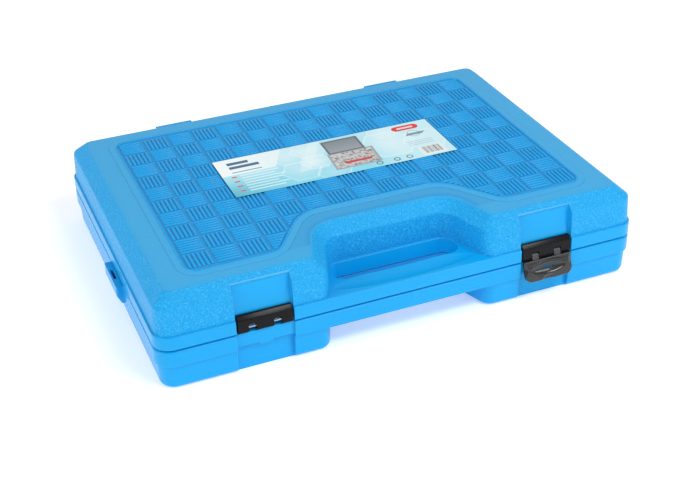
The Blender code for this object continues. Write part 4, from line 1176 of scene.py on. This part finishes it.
def extension(node):
    low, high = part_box(node)
    centre = (low + high) / 2
    kind = node.split("_")[1]
    drive = DRIVES[kind]
    end = (high.z - low.z) / 2
    shaft = (6.8 if kind == "half" else 4) * MM
    stop = high.x - 1.25 * drive
    groove = 0.3 * MM
    profile = [
        (end - EDGE, low.x),
        (end, low.x + EDGE),
        (end, low.x + 0.7 * end),
        (end - groove, low.x + 0.74 * end),
        (end - groove, low.x + 0.98 * end),
        (end, low.x + 1.02 * end),
        (end, low.x + 2.1 * end),
        (0.9 * end, low.x + 2.28 * end),
        (shaft, low.x + 2.6 * end),
        (shaft, stop - 0.7 * end),
        (0.84 * end, stop - 0.42 * end),
        (0.86 * end, stop - 0.05 * end),
        (0.8 * end, stop),
    ]
    tool = turned(node + "_turned", profile, (0, centre.y, centre.z), "x")
    half, radius = drive / 2 - DRIVE_PLAY, 0.12 * drive
    combine(tool, square_bar("male", (stop - 1 * MM, high.x), centre, half, radius), "UNION")
    ends = (low.x - OVERRUN, low.x + 1.25 * drive)
    combine(tool, square_bar("female", ends, centre, drive / 2 + DRIVE_PLAY))
    ball_place = (stop + 0.6 * drive, centre.y, centre.z + drive / 2 - 0.5 * MM)
    combine(tool, lump("ball", ball_place, (0.13 * drive,) * 3, 20), "UNION")
    return dress(tool, CHROME, "case_base", node)


def spark_plug_socket():
    low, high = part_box("spark_plug_socket")
    centre = (low + high) / 2
    radius, end, groove = (high.z - low.z) / 2, 11.5 * MM, 0.3 * MM
    along = lambda share: low.x + share * (high.x - low.x)
    profile = [
        (end - EDGE, low.x),
        (end, low.x + EDGE),
        (end, along(0.12)),
        (end - groove, along(0.125)),
        (end - groove, along(0.155)),
        (end, along(0.16)),
        (end, along(0.30)),
        (radius, along(0.36)),
        (radius, high.x - EDGE),
        (radius - EDGE, high.x),
    ]
    axis = (0, centre.y, centre.z)
    tool = turned("spark_plug_turned", profile, axis, "x")
    across = 10.5 * MM / math.cos(math.pi / 6)
    ends = (low.x + 18.5 * MM, high.x + OVERRUN)
    combine(tool, bar("hexagon", across, ends, axis, "x", 6))
    combine(tool, square_bar("square", (low.x - OVERRUN, low.x + 15.5 * MM), centre, 6.5 * MM))
    return dress(tool, CHROME, "case_base", "spark_plug_socket")


def grip(node, name, core_radius, cover):
    """A swelling rubber grip with a collar, a waist and finger grooves."""
    low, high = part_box(node)
    axis = (0, *middle(node).yz)
    radius = (high.z - low.z) / 2
    along = lambda share: low.x + share * (high.x - low.x)
    shape = [
        (0.66, 0.0), (0.74, 0.01), (0.82, 0.035), (0.84, 0.07),
        (0.80, 0.12), (0.76, 0.20), (0.78, 0.28), (0.88, 0.42),
        (0.96, 0.52), (0.985, 0.60), (0.98, 0.70), (0.95, 0.80),
        (0.94, 0.90), (0.90, 0.955), (0.80, 0.985), (0.62, 1.0),
    ]
    profile = [(share * radius * 0.99, along(place)) for share, place in shape]
    sleeve = turned(name, profile, axis, "x", 56)
    core_ends = (low.x - OVERRUN, high.x - cover)
    combine(sleeve, bar("core", core_radius, core_ends, axis, "x", 32))
    band, ridges = (along(0.04), along(0.09)), (along(0.40), along(0.84))
    finish = grip_rubber(name + " rubber", *band, *ridges)
    return dress(sleeve, finish, "case_base", node, angle=40)


def ratchet(kind):
    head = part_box(f"ratchet_{kind}_body")
    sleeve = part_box(f"ratchet_{kind}_grip")
    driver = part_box(f"ratchet_{kind}_drive")
    drive = DRIVES[kind]
    shaft, core_radius = (7.5 * MM, 7.8 * MM) if kind == "half" else (4.5 * MM, 4.8 * MM)
    x, y = (driver[0].x + driver[1].x) / 2, (driver[0].y + driver[1].y) / 2
    z = (sleeve[0].z + sleeve[1].z) / 2
    axis = (x, y, 0)
    radius = x - head[0].x
    low, top = head[0].z, head[1].z
    thick = top - low
    profile = [
        (radius - 2.2 * EDGE, low),
        (radius - 0.6 * EDGE, low + 0.8 * EDGE),
        (radius, low + 2 * EDGE),
        (radius, top - 2 * EDGE),
        (radius - 0.6 * EDGE, top - 0.8 * EDGE),
        (radius - 2.2 * EDGE, top),
    ]
    body = turned(f"ratchet_{kind}_forged", profile, axis, sides=56)
    start = sleeve[0].x
    neck = [
        (0.88 * thick / 2, x + 0.5 * radius),
        (0.84 * thick / 2, x + 0.95 * radius),
        (1.2 * shaft, x + 1.3 * radius),
        (1.0 * shaft, x + 1.7 * radius),
        (0.92 * shaft, (x + start) / 2 + 0.3 * radius),
        (0.98 * shaft, start - 4 * MM),
        (shaft, start),
        (shaft, head[1].x),
    ]
    combine(body, turned("neck", neck, (0, y, z), "x", 40), "UNION")
    play = 0.3 * MM
    disc_radius, disc_top = 0.66 * radius, low + 0.45 * thick
    ends = (low - OVERRUN, disc_top + play)
    combine(body, bar("bore", disc_radius + play, ends, axis, sides=48))
    stub_radius, stub_floor = 2 * MM, top - 4 * MM
    ends = (stub_floor - play, top + OVERRUN)
    combine(body, bar("hole", stub_radius + play, ends, axis, sides=24))
    dress(body, CHROME, "case_base", f"ratchet_{kind}_body")

    disc = [
        (disc_radius - 0.5 * MM, low),
        (disc_radius, low + 0.5 * MM),
        (disc_radius, disc_top),
    ]
    turning = turned(f"ratchet_{kind}_driver", disc, axis, sides=48)
    half = drive / 2 - DRIVE_PLAY
    stem_low, stem_high = (x - half, y - half, driver[0].z), (x + half, y + half, low + 1 * MM)
    combine(turning, box("stem", stem_low, stem_high, 0.1 * drive, 3), "UNION")
    dress(turning, STEEL, f"ratchet_{kind}_driver", f"ratchet_{kind}_drive")

    knob_low, knob_high = top + play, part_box(f"ratchet_{kind}_selector")[1].z
    hub = 0.36 * radius
    knob = [
        (hub - 0.3 * MM, knob_low),
        (hub, knob_low + 0.3 * MM),
        (hub, knob_high - 0.5 * MM),
        (hub - 0.5 * MM, knob_high),
    ]
    switch = turned(f"ratchet_{kind}_switch", knob, axis, sides=40)
    wide, reach = 0.14 * radius, 0.72 * radius
    paddle_low = (x - wide, y - reach, knob_low + 0.1 * MM)
    paddle_high = (x + wide, y, knob_low + 0.8 * (knob_high - knob_low))
    paddle = box("paddle", paddle_low, paddle_high, 0.6 * wide, 3, vertical)
    combine(switch, paddle, "UNION")
    stub = bar("stub", stub_radius, (stub_floor, knob_low + 1 * MM), axis, sides=24)
    combine(switch, stub, "UNION")
    dress(switch, STEEL, f"ratchet_{kind}_switch", f"ratchet_{kind}_selector")
    grip(f"ratchet_{kind}_grip", f"ratchet_{kind}_sleeve", core_radius, 3.7 * MM)


def spinner():
    shaft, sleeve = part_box("spinner_shaft"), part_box("spinner_grip")
    centre = middle("spinner_grip")
    drive = DRIVES["quarter"]
    tip = shaft[0].x + 1.2 * drive
    rod = [
        (3.7 * MM, tip - 0.4 * MM),
        (4.2 * MM, tip + 0.4 * MM),
        (4.2 * MM, tip + 9 * MM),
        (3.9 * MM, tip + 9.6 * MM),
        (3.9 * MM, sleeve[0].x - 6 * MM),
        (4.2 * MM, sleeve[0].x - 5 * MM),
        (4.2 * MM, shaft[1].x),
    ]
    tool = turned("spinner_rod", rod, (0, centre.y, centre.z), "x", 32)
    ends, half = (shaft[0].x, tip + 1 * MM), drive / 2 - DRIVE_PLAY
    combine(tool, square_bar("square", ends, centre, half, 0.7 * MM), "UNION")
    dress(tool, CHROME, "case_base", "spinner_shaft")
    grip("spinner_grip", "spinner_sleeve", 4.5 * MM, sleeve[1].x - shaft[1].x - 0.3 * MM)


def hex_key(node):
    """An L-shaped key: a six-sided bar drawn along, spun round its bend and drawn along again."""
    low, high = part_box(node)
    size = int(node.split("_")[-1]) * MM
    radius = size / 2 / math.cos(math.pi / 6)
    bend = 1.2 * size
    tall = (high.z - low.z) / 2
    wide = radius if tall < radius - 1e-5 else size / 2
    x, y, z = low.x + wide, low.y + wide, (low.z + high.z) / 2
    deselect()
    bpy.ops.mesh.primitive_circle_add(vertices=6, radius=radius, fill_type="NGON")
    key = named(node + "_bent")
    phase = 0.0 if abs(tall - radius) < abs(tall - size / 2) else math.pi / 6
    key.rotation_euler = (math.pi / 2, phase, math.pi / 2)
    key.location = (high.x - 0.3 * MM, y, z)
    settle(key)
    bpy.ops.object.mode_set(mode="EDIT")
    bpy.ops.mesh.select_all(action="SELECT")
    run = high.x - 0.3 * MM - x - bend
    extrude(-run, 0, 0)
    bpy.ops.mesh.spin(steps=8, angle=-math.pi / 2, center=(x + bend, y + bend, z), axis=(0, 0, 1))
    rise = high.y - 0.3 * MM - y - bend
    extrude(0, rise, 0)
    bpy.ops.mesh.select_all(action="SELECT")
    bpy.ops.mesh.remove_doubles(threshold=1e-6)
    close_up()
    return dress(key, BLACK_STEEL, "case_base", node)


def label():
    """A thin printed film whose corners lift a little."""
    low, high = LABEL_LOW, LABEL_HIGH
    deselect()
    centre = (low + high) / 2
    place = (centre.x, centre.y, low.z)
    bpy.ops.mesh.primitive_grid_add(x_subdivisions=60, y_subdivisions=24, size=1, location=place)
    film = named("label_film")
    film.scale = (high.x - low.x, high.y - low.y, 1)
    settle(film)
    for vert in film.data.vertices:
        along = abs(vert.co.x - centre.x) / ((high.x - low.x) / 2)
        aside = abs(vert.co.y - centre.y) / ((high.y - low.y) / 2)
        vert.co.z += 0.16 * MM * max(0.0, along + aside - 1.6) / 0.4
    skin = film.modifiers.new("thickness", "SOLIDIFY")
    skin.thickness = 0.12 * MM
    skin.offset = 1
    apply_steps(film)
    return dress(film, PRINT, "lid", "label_sheet")


# --------------------------------------------------------------- assembly

dress(build_base(), BLUE, "case_base", "base_shell", even=True)
dress(build_lid(), BLUE, "lid", "lid_shell", even=True)
dress(build_field_plate(), BLUE, "lid", even=True)
dress(build_ribs(), BLUE, "lid", angle=50)
dress(build_bead(), BLUE, "lid", angle=60)
label()
for side, x in zip(("left", "right"), LATCHES):
    tapering_block(side, x)
    steel_pin("latch", side, LATCH_PIN, 0.25 * MM, 20, "lid")
    steel_pin("hinge", side, HINGE_PIN, 0.4 * MM, 28, "case_base")
latch_lever(LATCHES[1])
for node in sorted(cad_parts):
    if node.startswith("socket_"):
        upright_socket(node)
    elif node.startswith("hex_key_"):
        hex_key(node)
for node in ("extension_half_long", "extension_half_short", "extension_quarter"):
    extension(node)
spark_plug_socket()
ratchet("half")
ratchet("quarter")
spinner()


# --------------------------------------------------- floor, light and camera


def studio_floor():
    deselect()
    bpy.ops.mesh.primitive_plane_add(size=1, location=(0, 0, -0.2 * MM))
    floor = named("studio_floor")
    floor.scale = (14, 14, 1)
    settle(floor)
    made = Finish("studio white", "", specular_ior_level=0.0, emission_strength=0.34)
    clouds = made.noise(0.4)
    white = made.colour(clouds, (0.93, 0.93, 0.93), (0.95, 0.95, 0.95))
    made.feed(base_color=white, emission_color=white, roughness=0.85 + clouds * 0.1)
    floor.data.materials.append(made.material)


def panel_light(name, place, aim, size, power):
    lamp = bpy.data.lights.new(name, "AREA")
    lamp.shape = "RECTANGLE"
    lamp.size, lamp.size_y = size
    lamp.energy = power
    light = shown(name, lamp)
    direction = Vector(aim) - Vector(place)
    light.location = place
    light.rotation_euler = direction.to_track_quat("-Z", "Y").to_euler()


def studio():
    world = bpy.data.worlds.new("studio")
    world.use_nodes = True
    sky = world.node_tree.nodes["Background"].inputs
    sky["Color"].default_value = (1, 1, 1, 1)
    sky["Strength"].default_value = 0.58
    scene = bpy.context.scene
    scene.world = world
    scene.view_settings.view_transform = "Standard"
    studio_floor()
    panel_light("key", (0.50, -0.95, 1.45), (0, 0, 0), (0.8, 0.4), 12)
    panel_light("front", (1.30, -1.70, 0.65), (0.1, 0, 0), (0.7, 0.5), 4)
    panel_light("side", (-1.6, -0.3, 0.9), (0, 0, 0), (0.8, 0.8), 8)


def camera():
    lens = bpy.data.cameras.new("camera")
    lens.sensor_width = 36
    lens.lens = 64.74
    lens.clip_start = 0.01
    view = shown("camera", lens)
    ahead = Vector((0.31901, 0.79257, -0.51969))
    right = Vector((0.92242, -0.38558, -0.02183))
    up = Vector((0.21768, 0.47240, 0.85408))
    turn = Matrix((right, up, -ahead)).transposed().to_4x4()
    view.matrix_world = Matrix.Translation((-0.33727, -0.85673, 0.56285)) @ turn
    bpy.context.scene.camera = view


studio()
camera()
deselect()
